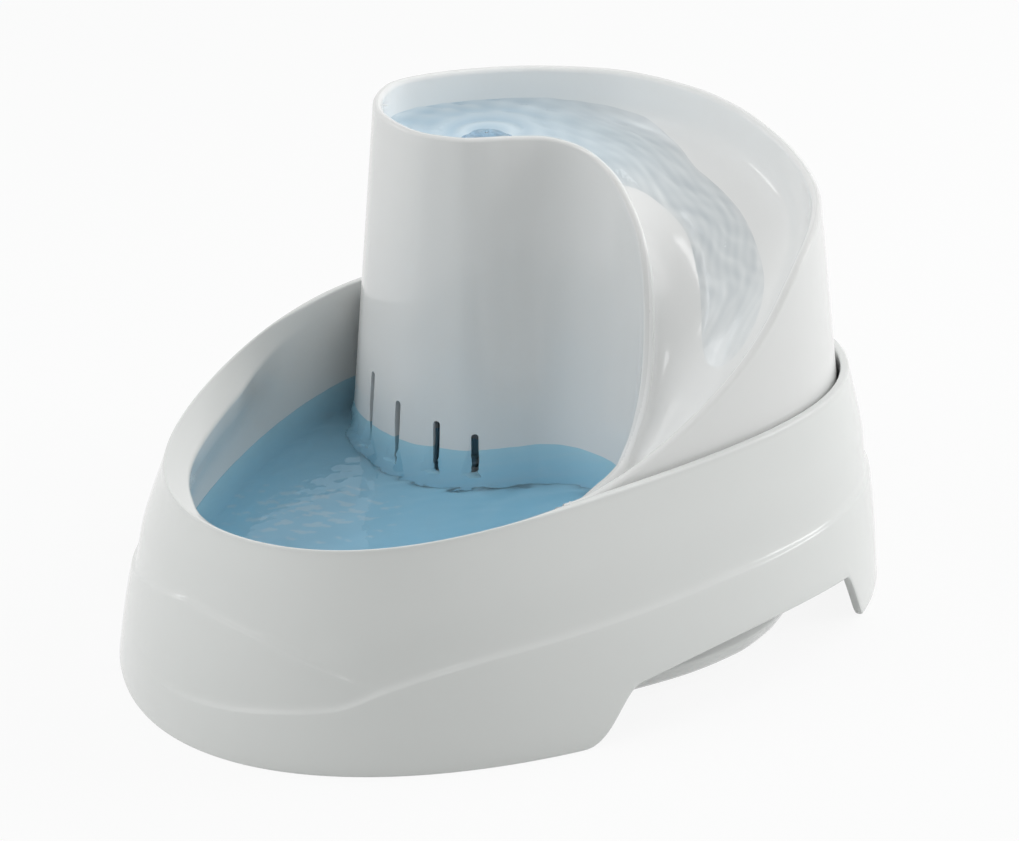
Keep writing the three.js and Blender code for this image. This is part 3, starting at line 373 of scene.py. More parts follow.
def creaseRecess(angle, height):
    # Each crease is a ledge: d * (1 - exp(-s / r)) * decay upwards, where s = e * ln(1 + exp(above / e)) rounds
    # its edge, faded out at both ends
    degrees = signedDegrees(angle)
    total = np.zeros(np.broadcast(angle, height).shape)
    for side in ("right", "left"):
        above = height - smoothTable(creases[side], degrees)
        start, full, fade, end = creases[side + "Ends"]
        share = smoothstep(degrees, start, full) * (1 - smoothstep(degrees, fade, end))
        eased = creases["edge"] * np.logaddexp(0, above / creases["edge"])
        decay = 1 - smoothstep(above, 0, creases["fall"])
        total = total + creases["depth"] * share * (1 - np.exp(-eased / creases["ramp"])) * decay
    return total


def archTop(angle):
    # The foot's edge lifts over the finger arch on each side
    along = -floorOutline["halfLength"] * np.cos(angle)
    height = bowl["archHeight"] - bowl["archSag"] * ((along - bowl["archMiddle"]) / 61) ** 2
    rise = (smoothstep(along - bowl["archStart"], 0, bowl["archFront"])
            * smoothstep(bowl["archEnd"] - along, 0, bowl["archRear"]))
    return height * rise


def notchAt(angle):
    # 1 inside the cable notch at the rear of the rim, 0 outside
    return np.where(np.cos(angle) < 0, notchShare(rimCurve(angle)[..., 0]), 0)


def notchShare(across):
    # 1 within the cable notch's width, 0 outside it
    half = bowl["notchWidth"] / 2
    return 1 - smoothstep(np.abs(across), half - 0.5, half + 0.5)


def roundedRows(corners, radii, steps=5):
    # A profile whose corners are replaced by quadratic curves, row by row: corners are (inset, height) per station
    rows = [corners[0]]
    for before, corner, after, radius in zip(corners[:-2], corners[1:-1], corners[2:], radii):
        legs = []
        for other in (before, after):
            leg = other - corner
            length = np.linalg.norm(leg, axis=-1, keepdims=True)
            legs.append(corner + leg * np.minimum(radius, length / 2) / length)
        for share in np.linspace(0, 1, steps):
            rows.append((1 - share) ** 2 * legs[0] + 2 * share * (1 - share) * corner + share ** 2 * legs[1])
    rows.append(corners[-1])
    return rows


def makeBowl():
    density = lambda a: (1 + 2.5 * np.exp(-((np.degrees(a) - 111.5) / 5) ** 2)
                         + 2.5 * np.exp(-((np.degrees(a) - 248.5) / 5) ** 2)
                         + 5 * np.exp(-((np.degrees(a) - 180) / 3) ** 2))
    angle = evenPlaces(density, 0, turn, 520, closed=True)
    top = rimTopAt(angle) - notchAt(angle) * bowl["notchDepth"]
    lipHeight = np.minimum(bowl["lipHeight"], top - 0.5)
    width = lipWidthAt(angle)
    centre = lambda height: np.array([0.0, bowl["centre"], height])

    floorRing = filletRing(angle, 0, bowl["floor"], 0)
    rows = [centre(bowl["floor"]) * (1 - share) + floorRing * share for share in np.linspace(0.06, 0.94, 12)]
    rows += [filletRing(angle, share, bowl["floor"], 0) for share in np.linspace(0, 1, 9)]
    wallFoot = bowl["floor"] + bowl["fillet"]
    for height in np.linspace(wallFoot, bowl["web"] + 8, 14)[1:-1]:
        rows.append(rimRing(angle, bowlInsetAt(angle, height), height))
    # Inner lip, crown and outer edge of the rim
    pair = lambda inset, height: np.stack(np.broadcast_arrays(inset, height), -1)
    flat = smoothTable(flatTops, signedDegrees(angle))
    crown = (width - 0.2) * flat + 1.1 * (1 - flat)
    lip = [pair(bowlInsetAt(angle, lipHeight - 7), lipHeight - 7), pair(width, lipHeight + 0.3),
           pair(crown, top), pair(0.0, top), pair(0.0, top - 2.6)]
    rimRows = roundedRows(lip, [1.4, 0.8, 1.1], steps=6)[:-1]
    rows += [rimRing(angle, row[..., 0], row[..., 1]) for row in rimRows]
    # Outer face, with rows gathered at the creases
    degrees = signedDegrees(angle)
    first, second = [smoothTable(creases[side], degrees) for side in ("right", "left")]
    foot = archTop(angle)
    bottom = foot + bowl["footRound"]
    low = np.maximum(first, bottom + 2)
    high = np.maximum(second, low + 7)
    anchors = [np.broadcast_to(top - 2.6, angle.shape), high + 5, high - 1, low + 5, low - 1, bottom]
    counts = [10, 24, 2, 24, 5]
    for upper, lower, count in zip(anchors[:-1], anchors[1:], counts):
        for share in np.linspace(0, 1, count, endpoint=False):
            height = upper + (lower - upper) * share
            rows.append(skirtPoint(angle, height, creaseRecess(angle, height)))
    # Rounded foot, then the inside of the skirt
    radius = bowl["footRound"]
    for share in np.linspace(0, 1, 5):
        rows.append(skirtPoint(angle, foot + radius * (1 - np.sin(share * np.pi / 2)),
                               radius * (1 - np.cos(share * np.pi / 2))))
    for share in np.linspace(0, 1, 4):
        rows.append(skirtPoint(angle, foot + radius * (1 - np.cos(share * np.pi / 2)),
                               bowl["wall"] - radius * (1 - np.sin(share * np.pi / 2))))
    for share in np.linspace(0, 1, 8)[1:]:
        height = foot + radius + share * (bowl["skirtTop"] - foot - radius)
        rows.append(skirtPoint(angle, height, np.full(len(angle), float(bowl["wall"]))))
    rows.append(rimRing(angle, (width - bowl["wall"]) / 2, bowl["web"]))
    for height in np.linspace(bowl["web"] - 4, wallFoot + 2, 8):
        rows.append(rimRing(angle, bowlInsetAt(angle, height) - bowl["wall"], height))
    flare = bowl["wall"] + smoothTable(bowl["footFlare"], np.abs(degrees))
    rows += [filletRing(angle, share, bowl["underside"], flare) for share in np.linspace(1, 0, 8)]
    underRing = rows[-1]
    for share in np.linspace(0.9, 0.06, 6):
        rows.append(centre(bowl["underside"]) * (1 - share) + underRing * share)
    grid = np.stack(rows)
    points = np.concatenate([grid.reshape(-1, 3), centre(bowl["floor"])[None], centre(bowl["underside"])[None]])
    count, stations = len(rows), len(angle)
    faces = gridFaces(count, stations, closeColumns=True)
    ends = [fanFaces(np.arange(stations)[::-1], count * stations),
            fanFaces((count - 1) * stations + np.arange(stations), count * stations + 1)]
    return surfaceObject("bowlShell", points, [faces, np.concatenate(ends)])


def makeRibs():
    # Five ribs carry the tower, and two guides hold the filter: boxes with eased edges
    corners, faces = [], []
    unit = np.array([[x, y, z] for x in (-0.5, 0.5) for y in (-0.5, 0.5) for z in (-0.5, 0.5)])
    quads = np.array([[0, 1, 3, 2], [4, 6, 7, 5], [0, 4, 5, 1], [2, 3, 7, 6], [0, 2, 6, 4], [1, 5, 7, 3]])

    def block(size, place, heading=0.0):
        box = unit * size
        spin = np.array([[np.cos(heading), np.sin(heading), 0], [-np.sin(heading), np.cos(heading), 0], [0, 0, 1]])
        faces.append(quads + 8 * len(corners))
        corners.append(box @ spin + place)

    for degrees in (84, 122, 160, 200, 234):
        angle = np.radians([degrees])
        middle, edge = [insetPoint(rimCurve, angle, np.array([inset]))[0] for inset in (6.15, 0)]
        heading = math.atan2(edge[1] - middle[1], edge[0] - middle[0])
        block((7.3, 8, 68.5), (middle[0], middle[1], 40.95), heading)
    for side in (-1, 1):
        x = -50 + side * (23 + 0.3 + 1.2)
        block((2.4, 17.4, 22.3), (x, 39, 17.85))
        for face in (-1, 1):
            block((4.8, 2.4, 22.3), (x - side * 1.2, 39 + face * 7.5, 17.85))
    piece = surfaceObject("bowlRibs", np.concatenate(corners), [np.concatenate(faces)])
    ease = piece.modifiers.new("ease", "BEVEL")
    ease.width, ease.segments, ease.limit_method = 0.5 * mm, 2, "ANGLE"
    return piece


# Tower casing

slots = dict(shares=(0.6555, 0.68, 0.704, 0.724), tops=(65, 59, 54.6, 50.5), bottom=20, width=2.8, depth=16,
             relief=9, reliefSide=-1)


def casingBottoms(share):
    # The lowest height at which the casing clears the bowl's wall, or the seat on the ribs
    samples = rimCurve(np.linspace(0, turn, 720, endpoint=False))
    steps = np.arange(15) / 40
    heights = bowl["floor"] + 0.3 + steps * (tower["seat"] - bowl["floor"] - 0.3)
    result = np.full(share.shape, float(tower["seat"]))
    for height in heights[::-1]:
        plan = casingPoint(share, height)[..., :2]
        distance = np.linalg.norm(plan[:, None] - samples[None], axis=-1)
        nearest = distance.argmin(1)
        foot = max(0.0, bowl["floor"] + bowl["fillet"] - height) / bowl["fillet"]
        fillet = bowl["fillet"] * (1 - math.sqrt(max(0.0, 1 - foot * foot)))
        clear = distance.min(1) > bowlInsetAt(nearest / 720 * turn, height) + fillet + 0.6
        result = np.where(clear, height, result)
    return result


def makeCasing():
    density = lambda s: (1 + 3 * np.exp(-((s - 0.842) / 0.022) ** 2) + 2.5 * np.exp(-((s - 0.985) / 0.012) ** 2)
                         + 4 * np.exp(-((s - 0.614) / 0.01) ** 2) + 5 * np.exp(-((s - 0.3685) / 0.012) ** 2))
    share = evenPlaces(density, 0, 1, 900, closed=True)
    top = topEdgeAt(share)
    bottom = casingBottoms(share)
    rear = (share > 0.3) & (share < 0.45)
    way = np.where(rear, notchShare(casingPoint(share, tower["seat"])[:, 0]), 0)
    bottom = bottom + way * bowl["notchDepth"] + tower["footLift"]
    lip, wall = tower["lip"], tower["wall"]
    rows = []
    foot = tower["footRound"]
    for lean in np.linspace(0, np.pi / 2, 5)[:-1]:
        rows.append(casingPoint(share, bottom + foot * (1 - np.cos(lean)), foot * (1 - np.sin(lean))))
    for level in np.linspace(0, 1, 34):
        rows.append(casingPoint(share, bottom + foot + (top - lip - bottom - foot) * level))
    for lean in np.linspace(0, np.pi, 13)[1:]:
        rows.append(casingPoint(share, top - lip + lip * np.sin(lean), lip - lip * np.cos(lean)))
    for level in np.linspace(1, 0, 14)[1:]:
        rows.append(casingPoint(share, bottom + (top - lip - bottom) * level, wall))
    grid = np.stack(rows)
    piece = surfaceObject("towerShell", grid.reshape(-1, 3),
                          [gridFaces(len(rows), len(share), closeRows=True, closeColumns=True)])
    carve(piece, [slotTool(*pair) for pair in zip(slots["shares"], slots["tops"])])
    return piece


def slotTool(share, top):
    # A flat bar with round ends, standing square to the wall and wider behind it on one side
    half = slots["width"] / 2
    sweep = np.linspace(0, np.pi, 13)
    height = top - slots["bottom"]
    outline = np.concatenate([
        np.stack([half * np.cos(sweep), height - half + half * np.sin(sweep)], -1),
        np.stack([-half * np.cos(sweep), half - half * np.sin(sweep)], -1)])
    centre = casingPoint(share, slots["bottom"], tower["wall"] / 2)
    tangent = casingCurve.tangent(np.asarray(share))
    normal = np.array([-tangent[1], tangent[0]])
    count = len(outline)
    points = []
    for place, wider in ((slots["depth"], 0), (0.8, 0), (-tower["wall"], slots["relief"])):
        side = outline[:, :1] * (1 + wider / half * (outline[:, :1] * slots["reliefSide"] > 0))
        plan = centre[:2] + side * tangent + place * normal
        points.append(np.concatenate([plan, slots["bottom"] + outline[:, 1:]], 1))
    points = np.concatenate(points + [np.stack([points[0].mean(0), points[2].mean(0)])])
    walls = gridFaces(3, count, closeColumns=True)
    caps = np.concatenate([fanFaces(np.arange(count)[::-1], 3 * count),
                           fanFaces(2 * count + np.arange(count), 3 * count + 1)])
    return surfaceObject("slotTool", points, [walls, caps])


# Dish and chute

def traySection(length, across):
    # Across is 0 to 1 between the two edges of the hung part: a superellipse whose flatness falls from 5 to 2.2
    inner, outer, depthShare = trayTable(length)
    drop, inset = tower["trayLip"], tower["lip"] + tower["trayLip"]
    start = casingPoint(inner, topEdgeAt(inner) - drop, inset)
    end = casingPoint(outer, topEdgeAt(outer) - drop, inset)
    flatness = 5 - 2.8 * smoothstep(length, 0.33, 0.64)
    depth = np.maximum(1 - np.abs(2 * across - 1) ** flatness, 0) ** (1 / flatness)
    point = start * (1 - across)[..., None] + end * across[..., None]
    point[..., 2] -= np.maximum(24 * depthShare - 0.8, 0) * depth
    return point


def smoothedRows(grid, across, sigma):
    # Gaussian mean along the rows, fading out towards both edges of the hung part
    reach = int(3 * sigma)
    weights = np.exp(-0.5 * (np.arange(-reach, reach + 1) / sigma) ** 2)
    padded = np.concatenate([2 * grid[:1] - grid[reach:0:-1], grid, 2 * grid[-1:] - grid[-2:-reach - 2:-1]])
    mean = sum(weight * padded[start:start + len(grid)] for start, weight in enumerate(weights / weights.sum()))
    share = (np.sin(np.pi * np.clip(across, 0, 1)) ** 0.6)[..., None]
    return grid + (mean - grid) * share


def trayTable(length):
    # Smooth curves through the sections' three numbers
    return [smoothTable(np.stack([trayPlaces, np.array(trayRows)[:, column]], -1), length) for column in range(3)]


def trayLipRows(length, side):
    # Quarter circle from the lip's crown down to the edge of the hung part
    share = trayTable(length)[side]
    radius = tower["trayLip"]
    rows = []
    for sweep in np.linspace(0, np.pi / 2, 8)[:-1]:
        rows.append(casingPoint(share, topEdgeAt(share) - 0.02 - radius * (1 - np.cos(sweep)),
                                tower["lip"] + radius * np.sin(sweep)))
    return rows


def offsetGrid(grid, distance):
    # Every point of a grid moved along its normal
    along = np.gradient(grid, axis=0)
    across = np.gradient(grid, axis=1)
    normal = np.cross(along, across)
    size = np.linalg.norm(normal, axis=-1, keepdims=True)
    normal = normal / np.where(size > 1e-9, size, 1)
    return grid + normal * distance


def trayGrid():
    density = lambda l: 1 + 6 * np.exp(-(l / 0.03) ** 2)
    length = evenPlaces(density, 0, trayEnd, 250)
    width = (1 - np.cos(np.linspace(0, np.pi, 92))) / 2
    lengths, widths = np.meshgrid(length, width, indexing="ij")
    hung = smoothedRows(traySection(lengths, widths), widths, 8)
    inner = np.stack(trayLipRows(length, 0), 1)
    outer = np.stack(trayLipRows(length, 1), 1)[:, ::-1]
    return np.concatenate([inner, hung, outer], 1)


def sheetObject(name, upper, under, values=None):
    # A closed sheet between two grids, capped at its first and last rows
    rows, columns = upper.shape[:2]
    both = lambda top, low: np.concatenate([top, low[:, ::-1]], 1)
    faces = [gridFaces(rows, 2 * columns, closeColumns=True)]
    for row, flip in ((0, False), (rows - 1, True)):
        left = row * 2 * columns + np.arange(columns)
        right = row * 2 * columns + 2 * columns - 1 - np.arange(columns)
        cap = np.stack([left[:-1], left[1:], right[1:], right[:-1]], -1)
        faces.append(cap if flip else cap[:, ::-1])
    numbers = {key: both(value, value) for key, value in (values or {}).items()}
    return surfaceObject(name, both(upper, under).reshape(-1, 3), [np.concatenate(faces)], values=numbers)


def makeTray():
    upper = trayGrid()
    piece = sheetObject("dishAndChute", upper, offsetGrid(upper, -tower["trayWall"]))
    weld(piece)
    carve(piece, [rodTool(lift["hole"], 130, 150, lift["x"], lift["y"])])
    return piece


def rodTool(radius, low, high, x, y, sides=64):
    # A closed upright rod
    sweep = np.linspace(0, turn, sides, endpoint=False)
    ring = np.stack([x + radius * np.cos(sweep), y + radius * np.sin(sweep)], -1)
    points = np.concatenate([raised(ring, low), raised(ring, high), [[x, y, low], [x, y, high]]])
    near, far = np.arange(sides), sides + np.arange(sides)
    walls = np.stack([near, np.roll(near, -1), np.roll(far, -1), far], -1)
    return surfaceObject("rodTool", points, [walls, np.concatenate([fanFaces(near[::-1], 2 * sides),
                                                                    fanFaces(far, 2 * sides + 1)])])


# Water

water = dict(poolLevel=44, poolRings=110, poolStations=360, dishLevel=152.8, wallOverlap=0.5, wellRadius=10,
             wellHeight=7.4, wellFoot=145.1, wellShift=(-2.5, 3), mouth=(52, -12), ringHeight=0.28, ringFade=55)


def makePoolWater():
    # Disc at the pool's level that reaches just into the wall, closed underneath along the wall and floor
    stations = water["poolStations"]
    angle = np.linspace(0, turn, stations, endpoint=False)
    level, overlap, rings = water["poolLevel"], water["wallOverlap"], water["poolRings"]
    edge = rimRing(angle, bowlInsetAt(angle, level) - overlap, level)
    centre = np.array([0.0, bowl["centre"], level])
    rows = [centre * (1 - share) + edge * share for share in np.linspace(0.01, 1, rings)]
    wallFoot = bowl["floor"] + bowl["fillet"] + 0.5
    rows.append(rimRing(angle, bowlInsetAt(angle, wallFoot) - overlap, wallFoot))
    rows += [filletRing(angle, share, bowl["floor"] - overlap, overlap) for share in np.linspace(1, 0, 6)]
    grid = np.stack(rows)
    grid[:rings, :, 2] += poolRipple(grid[:rings, :, 0], grid[:rings, :, 1])
    # Painted glints: the water's colour is lighter in broken patches near the front left
    glints = np.append(poolGlints(grid[..., 0], grid[..., 1]).ravel(), [0, 0])
    floor = centre * [1, 1, 0] + [0, 0, bowl["floor"] - overlap]
    points = np.concatenate([grid.reshape(-1, 3), centre[None], floor[None]])
    count = len(rows)
    faces = gridFaces(count, stations, closeColumns=True)
    ends = np.concatenate([fanFaces(np.arange(stations)[::-1], count * stations),
                           fanFaces((count - 1) * stations + np.arange(stations), count * stations + 1)])
    return surfaceObject("poolWater", points, [faces, ends], values={"wave": glints})


def poolRipple(x, y):
    # Rings spreading from the chute's mouth, dying away with distance, slow crossing swells, and chop by the tower
    away = np.hypot(x - water["mouth"][0], y - water["mouth"][1])
    rings = water["ringHeight"] * np.sin(away * 0.42) * np.exp(-away / water["ringFade"])
    swell = 0.07 * np.sin(x * 0.19 + y * 0.11) * np.sin(y * 0.23 - x * 0.07 + 1.3)
    near = smoothstep(y, -62, -20)
    chop = 0.09 * np.sin(x * 0.6 + 1.3 * np.sin(y * 0.21)) * np.sin(y * 0.47 + 0.9 * np.sin(x * 0.33)) * near
    return rings + swell + chop


def poolGlints(x, y):
    # Broken light patches near the front left: sin(u) sin(v) over bent coordinates, cut off at a threshold
    along, away = x * 0.813 + y * 0.582, y * 0.813 - x * 0.582
    wave = (np.sin(along * 0.31 + 2.2 * np.sin(away * 0.17 + 0.6)) * np.sin(away * 0.62 + 1.7 * np.sin(along * 0.13))
            + 0.45 * np.sin(along * 0.83 + 1.4 * np.sin(away * 0.5)) * np.sin(away * 1.1 + along * 0.21))
    near = np.exp(-((along + 62) / 30) ** 2 - ((away + 24) / 24) ** 2)
    return smoothstep(wave * near, 0.2, 0.42)


stream = dict(
    # Pairs of the chute's length and the place across it where the moving water begins and ends
    inner=[(0.27, 0.01), (0.30, 0.05), (0.34, 0.17), (0.38, 0.32), (0.42, 0.42), (0.468, 0.42), (0.54, 0.35),
           (0.637, 0.31), (0.80, 0.27), (1, 0.22)],
    outer=[(0.29, 0.994), (0.353, 0.99), (0.386, 0.939), (0.424, 0.83), (0.481, 0.80), (0.554, 0.764), (0.64, 0.76),
           (0.80, 0.72), (1, 0.62)],
    thickness=[(0.26, 3.2), (0.45, 2.2), (0.56, 1.2), (0.64, 0.4), (0.7, -0.2), (0.76, -0.8), (1, -0.8)],
    blend=(0.26, 0.4), tintBlend=(0.2, 0.35))


def makeTowerWater():
    # Level water in the dish that turns into a film on the chute: the top is the higher of the level and the tray
    length = np.linspace(0.012, 0.97, 330)
    width = (1 - np.cos(np.linspace(0.02, np.pi - 0.02, 130))) / 2
    lengths, widths = np.meshgrid(length, width, indexing="ij")
    tray = smoothedRows(traySection(lengths, widths), widths, 11)
    normal = offsetGrid(tray, 1.0) - tray
    bank = np.maximum(water["dishLevel"], tray[..., 2] - 1.0)
    pond = tray.copy()
    rings, swell = dishRipple(tray[..., 0], tray[..., 1]), streamRipple(lengths, widths)
    pond[..., 2] = bank + rings * smoothstep(bank - tray[..., 2], 0, 2)
    inner, outer = smoothTable(stream["inner"], lengths), smoothTable(stream["outer"], lengths)
    middle = (widths - inner) / (outer - inner)
    bump = np.clip(4 * middle * (1 - middle), 0, 1) ** 0.45
    inside = (middle > 0) & (middle < 1)
    depth = np.where(inside, (smoothTable(stream["thickness"], lengths) + 1) * bump - 1, -1)
    film = tray + normal * (depth + swell * smoothstep(depth, 0, 1.2))[..., None]
    bent = lengths + 0.02 * np.sin(6 * widths + 1)
    flowing, clear = [smoothstep(bent, *stream[key]) for key in ("blend", "tintBlend")]
    share = flowing[..., None]
    top = pond * (1 - share) + film * share
    # Painted highlights: the water's colour is lighter on the crests of the dish's rings and the stream's ridges,
    # darker in their troughs, and lighter over the lower chute
    wave = 0.5 + rings * (1 - flowing) * 0.75 + swell * flowing * 1.7 + 0.4 * smoothstep(lengths, 0.52, 0.75)
    return sheetObject("towerWater", top, tray - normal * 1.5, {"wave": wave, "film": clear})


def makeWellingWater():
    # Dome of water full of fine bubbles that comes up through the nozzle: z = low + h (1 - r^2)^0.4, with lobes
    share = np.sin(np.linspace(0, np.pi / 2, 24))[1:, None]
    sweep = np.linspace(0, turn, 72, endpoint=False)[None]
    radius = water["wellRadius"] * share * (1 + 0.06 * np.sin(3 * sweep + 0.8) + 0.04 * np.sin(5 * sweep))
    height = water["wellHeight"] * np.maximum(1 - share ** 2, 0) ** 0.4 + 0 * sweep
    height = height + 0.35 * np.sin(4 * sweep + 5 * share) * np.sin(np.pi * share)
    x, y = lift["x"] + water["wellShift"][0], lift["y"] + water["wellShift"][1]
    dome = np.stack([x + radius * np.cos(sweep), y + radius * np.sin(sweep), water["wellFoot"] + height], -1)
    low, top = [[[x, y, water["wellFoot"] + rise]] for rise in (0, water["wellHeight"])]
    points = np.concatenate([dome.reshape(-1, 3), top, low])
    rows, count = dome.shape[:2]
    outer = (rows - 1) * count + np.arange(count)
    # Painted highlights: rings of lighter and darker colour round the dome
    wave = np.append(0.5 + 0.5 * np.sin(9 * share + 2 * np.sin(2 * sweep)).ravel(), [0.5, 0.5])
    return surfaceObject("wellingWater", points, [gridFaces(rows, count, closeColumns=True),
                                                  fanFaces(np.arange(count), rows * count),
                                                  fanFaces(outer, rows * count + 1)], values={"wave": wave})


def dishRipple(x, y):
    # Rings round the welling water that die away, over waves that run towards the chute
    away = np.hypot(x - lift["x"] - water["wellShift"][0], y - lift["y"] - water["wellShift"][1])
    bend = 1.6 * np.sin(y * 0.14 + 0.4) + 0.8 * np.sin(x * 0.11)
    away = away * (1 + 0.1 * np.sin(2 * np.arctan2(y - lift["y"], x - lift["x"]) + 1))
    return (0.85 * np.cos(away * 0.6) * np.exp(-away / 17) + 0.7 * np.exp(-(away / 6.5) ** 2)
            + 0.34 * np.sin(x * 0.16 + y * 0.42 + bend) * np.sin(y * 0.19 - x * 0.3 + 0.8) * smoothstep(away, 14, 34))


def streamRipple(length, width):
    # Ridges 1 - 2 |sin| drawn out along the flow, with finer crossing waves, dying away down the chute
    ridge = 1 - 2 * np.abs(np.sin(width * 24 + 1.8 * np.sin(length * 27 + 2) + 0.9 * np.sin(length * 71 + width * 15)))
    broken = np.sin(length * 97 + 3 * np.sin(width * 17))
    fine = np.sin(width * 83 + length * 33 + 2.5 * np.sin(length * 61)) * np.sin(length * 140 + width * 29)
    return (0.2 * ridge * (0.6 + 0.4 * broken) + 0.13 * fine) * (1 - 0.85 * smoothstep(length, 0.5, 0.72))


# Filter layers

pads = dict(
    filterFoam=dict(node="filter_foam", edge=8, pull=0.014, crown=0.1, pit=0.45, cell=(1.5, 1.3)),
    filterCarbon=dict(node="filter_carbon", edge=5, pull=0.01, crown=0.16, pit=0.2, cell=(0.8, 2.6)))


def makePad(name, node, edge, pull, crown, pit, cell):
    # Two faces y = +-T (1 - |u|^p)^(1/p) (1 - |v|^p)^(1/p) (1 - c (u^2 + v^2) / 2), with sides that pull in between
    # the corners and a pitted face of sin(x) sin(z) over bent coordinates
    low, high = [np.array(corner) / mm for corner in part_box(node)]
    middle, half = (low + high) / 2, (high - low) / 2
    across, up = np.meshgrid(np.sin(np.linspace(-1, 1, 64) * np.pi / 2), np.sin(np.linspace(-1, 1, 112) * np.pi / 2))
    eased = [np.maximum(1 - np.abs(side) ** edge, 0) ** (1 / edge) for side in (across, up)]
    x = half[0] * across * (1 - pull * (1 - up ** 2)) * (1 - 0.03 * np.abs(across * up) ** 8)
    z = half[2] * up * (1 - pull * (1 - across ** 2) * half[0] / half[2]) * (1 - 0.02 * np.abs(across * up) ** 8)
    bent = np.sin(x / cell[0] + 1.4 * np.sin(z * 0.31)) * np.sin(z / cell[1] + 1.7 * np.sin(x * 0.43))
    rise = half[1] * eased[0] * eased[1] * (1 - crown * (across ** 2 + up ** 2) / 2)
    rise = np.maximum(rise - pit * smoothstep(bent, 0, 0.8) * eased[0] * eased[1], 0)
    faces = [np.stack([x, side * rise, z], -1).reshape(-1, 3) + middle for side in (-1, 1)]
    rows, columns = across.shape
    quads = gridFaces(rows, columns)
    piece = surfaceObject(name, np.concatenate(faces), [np.concatenate([quads, quads[:, ::-1] + rows * columns])])
    weld(piece)
    return piece


bowlShell = makeBowl()
bowlRibs = makeRibs()
print("bowl made")
towerShell = makeCasing()
print("casing made")
dishAndChute = makeTray()
print("dish and chute made")
poolWater = makePoolWater()
towerWater = makeTowerWater()
wellingWater = makeWellingWater()
print("water made")
filterFoam, filterCarbon = [makePad(name, **sizes) for name, sizes in pads.items()]
print("filter layers made")


# Materials

class Value:
    # A socket whose arithmetic adds Math nodes
    def __init__(self, finish, socket):
        self.finish, self.socket = finish, socket

    def math(self, operation, first, second):
        return self.finish.node("ShaderNodeMath", {"operation": operation}, {0: first, 1: second})[0]

    def __add__(self, other): return self.math("ADD", self, other)

    def __radd__(self, other): return self.math("ADD", other, self)

    def __sub__(self, other): return self.math("SUBTRACT", self, other)

    def __rsub__(self, other): return self.math("SUBTRACT", other, self)

    def __mul__(self, other): return self.math("MULTIPLY", self, other)

    def __rmul__(self, other): return self.math("MULTIPLY", other, self)

    def __pow__(self, other): return self.math("POWER", self, other)


class Added:
    # A node that was added, read by an output's name or number
    def __init__(self, finish, node):
        self.finish, self.added = finish, node

    def __getitem__(self, key):
        return Value(self.finish, self.added.outputs[key])


class Finish:
    # One material and the nodes that make it
    def __init__(self, name, tree=None):
        if tree is None:
            self.material = bpy.data.materials.new(name)
            self.material.use_nodes = True
            tree = self.material.node_tree
        self.tree = tree
        self.tree.nodes.clear()

    def node(self, kind, settings=None, inputs=None):
        added = self.tree.nodes.new(kind)
        for key, value in (settings or {}).items():
            if key == "stops":
                ramp = added.color_ramp
                while len(ramp.elements) < len(value):
                    ramp.elements.new(1)
                for element, (place, colour) in zip(ramp.elements, value):
                    element.position, element.color = place, colour
            else:
                setattr(added, key, value)
        for key, value in (inputs or {}).items():
            socket = added.inputs[key]
            if isinstance(value, Value):
                self.tree.links.new(value.socket, socket)
            elif isinstance(value, tuple) and len(value) == 3 and socket.type == "RGBA":
                socket.default_value = (*value, 1)
            else:
                socket.default_value = value
        return Added(self, added)

    def place(self, stretch=(1, 1, 1)):
        source = self.node("ShaderNodeTexCoord")["Object"]
        return self.node("ShaderNodeMapping", {}, {"Vector": source, "Scale": stretch})[0]

    def noise(self, scale, detail=3, roughness=0.5):
        return self.node("ShaderNodeTexNoise", {}, {"Vector": self.place(), "Scale": scale, "Detail": detail,
                                                    "Roughness": roughness})["Fac"]

    def mixColour(self, factor, low, high):
        return self.node("ShaderNodeMix", {"data_type": "RGBA"}, {0: factor, 6: low, 7: high})[2]

    def bump(self, height, distance, strength=1.0):
        return self.node("ShaderNodeBump", {}, {"Height": height, "Distance": distance, "Strength": strength})[0]

    def surface(self, shader, volume=None):
        output = self.node("ShaderNodeOutputMaterial", {}, {"Surface": shader})
        if volume:
            self.tree.links.new(volume.socket, output.added.inputs["Volume"])
        return self.material


def mouldedPlastic(name, colour, shade, roughness, coat=0.25, grain=0.00001, grainScale=900):
    # Gloss moulding: faint clouding of colour and gloss, and a fine orange peel
    finish = Finish(name)
    cloud = finish.noise(9, 3, 0.55)
    fine = finish.noise(grainScale, 2, 0.6)
    tint = finish.mixColour(cloud, shade, colour)
    rough = roughness + 0.07 * cloud - 0.03
    shader = finish.node("ShaderNodeBsdfPrincipled", {}, {
        "Base Color": tint, "Roughness": rough, "Coat Weight": coat, "Coat Roughness": 0.06, "IOR": 1.48,
        "Normal": finish.bump(fine, grain)})[0]
    return finish.surface(shader)


def bandedFinish(name, low, high, direction, pitch, depth, roughness, metallic=0.0, coat=0.0):
    # Fine bands across one axis, as of stacked sheets, wound wire or grinding, over a faint clouding
    finish = Finish(name)
    cloud = finish.noise(400, 3, 0.6)
    bands = finish.node("ShaderNodeTexWave", {"wave_type": "BANDS", "bands_direction": direction},
                        {"Vector": finish.place(), "Scale": math.pi / 10 / pitch})["Fac"]
    tint = finish.mixColour(0.6 * bands + 0.4 * cloud, low, high)
    shader = finish.node("ShaderNodeBsdfPrincipled", {}, {
        "Base Color": tint, "Metallic": metallic, "Roughness": roughness + 0.14 * cloud - 0.07, "Coat Weight": coat,
        "Normal": finish.bump(bands, depth)})[0]
    return finish.surface(shader)


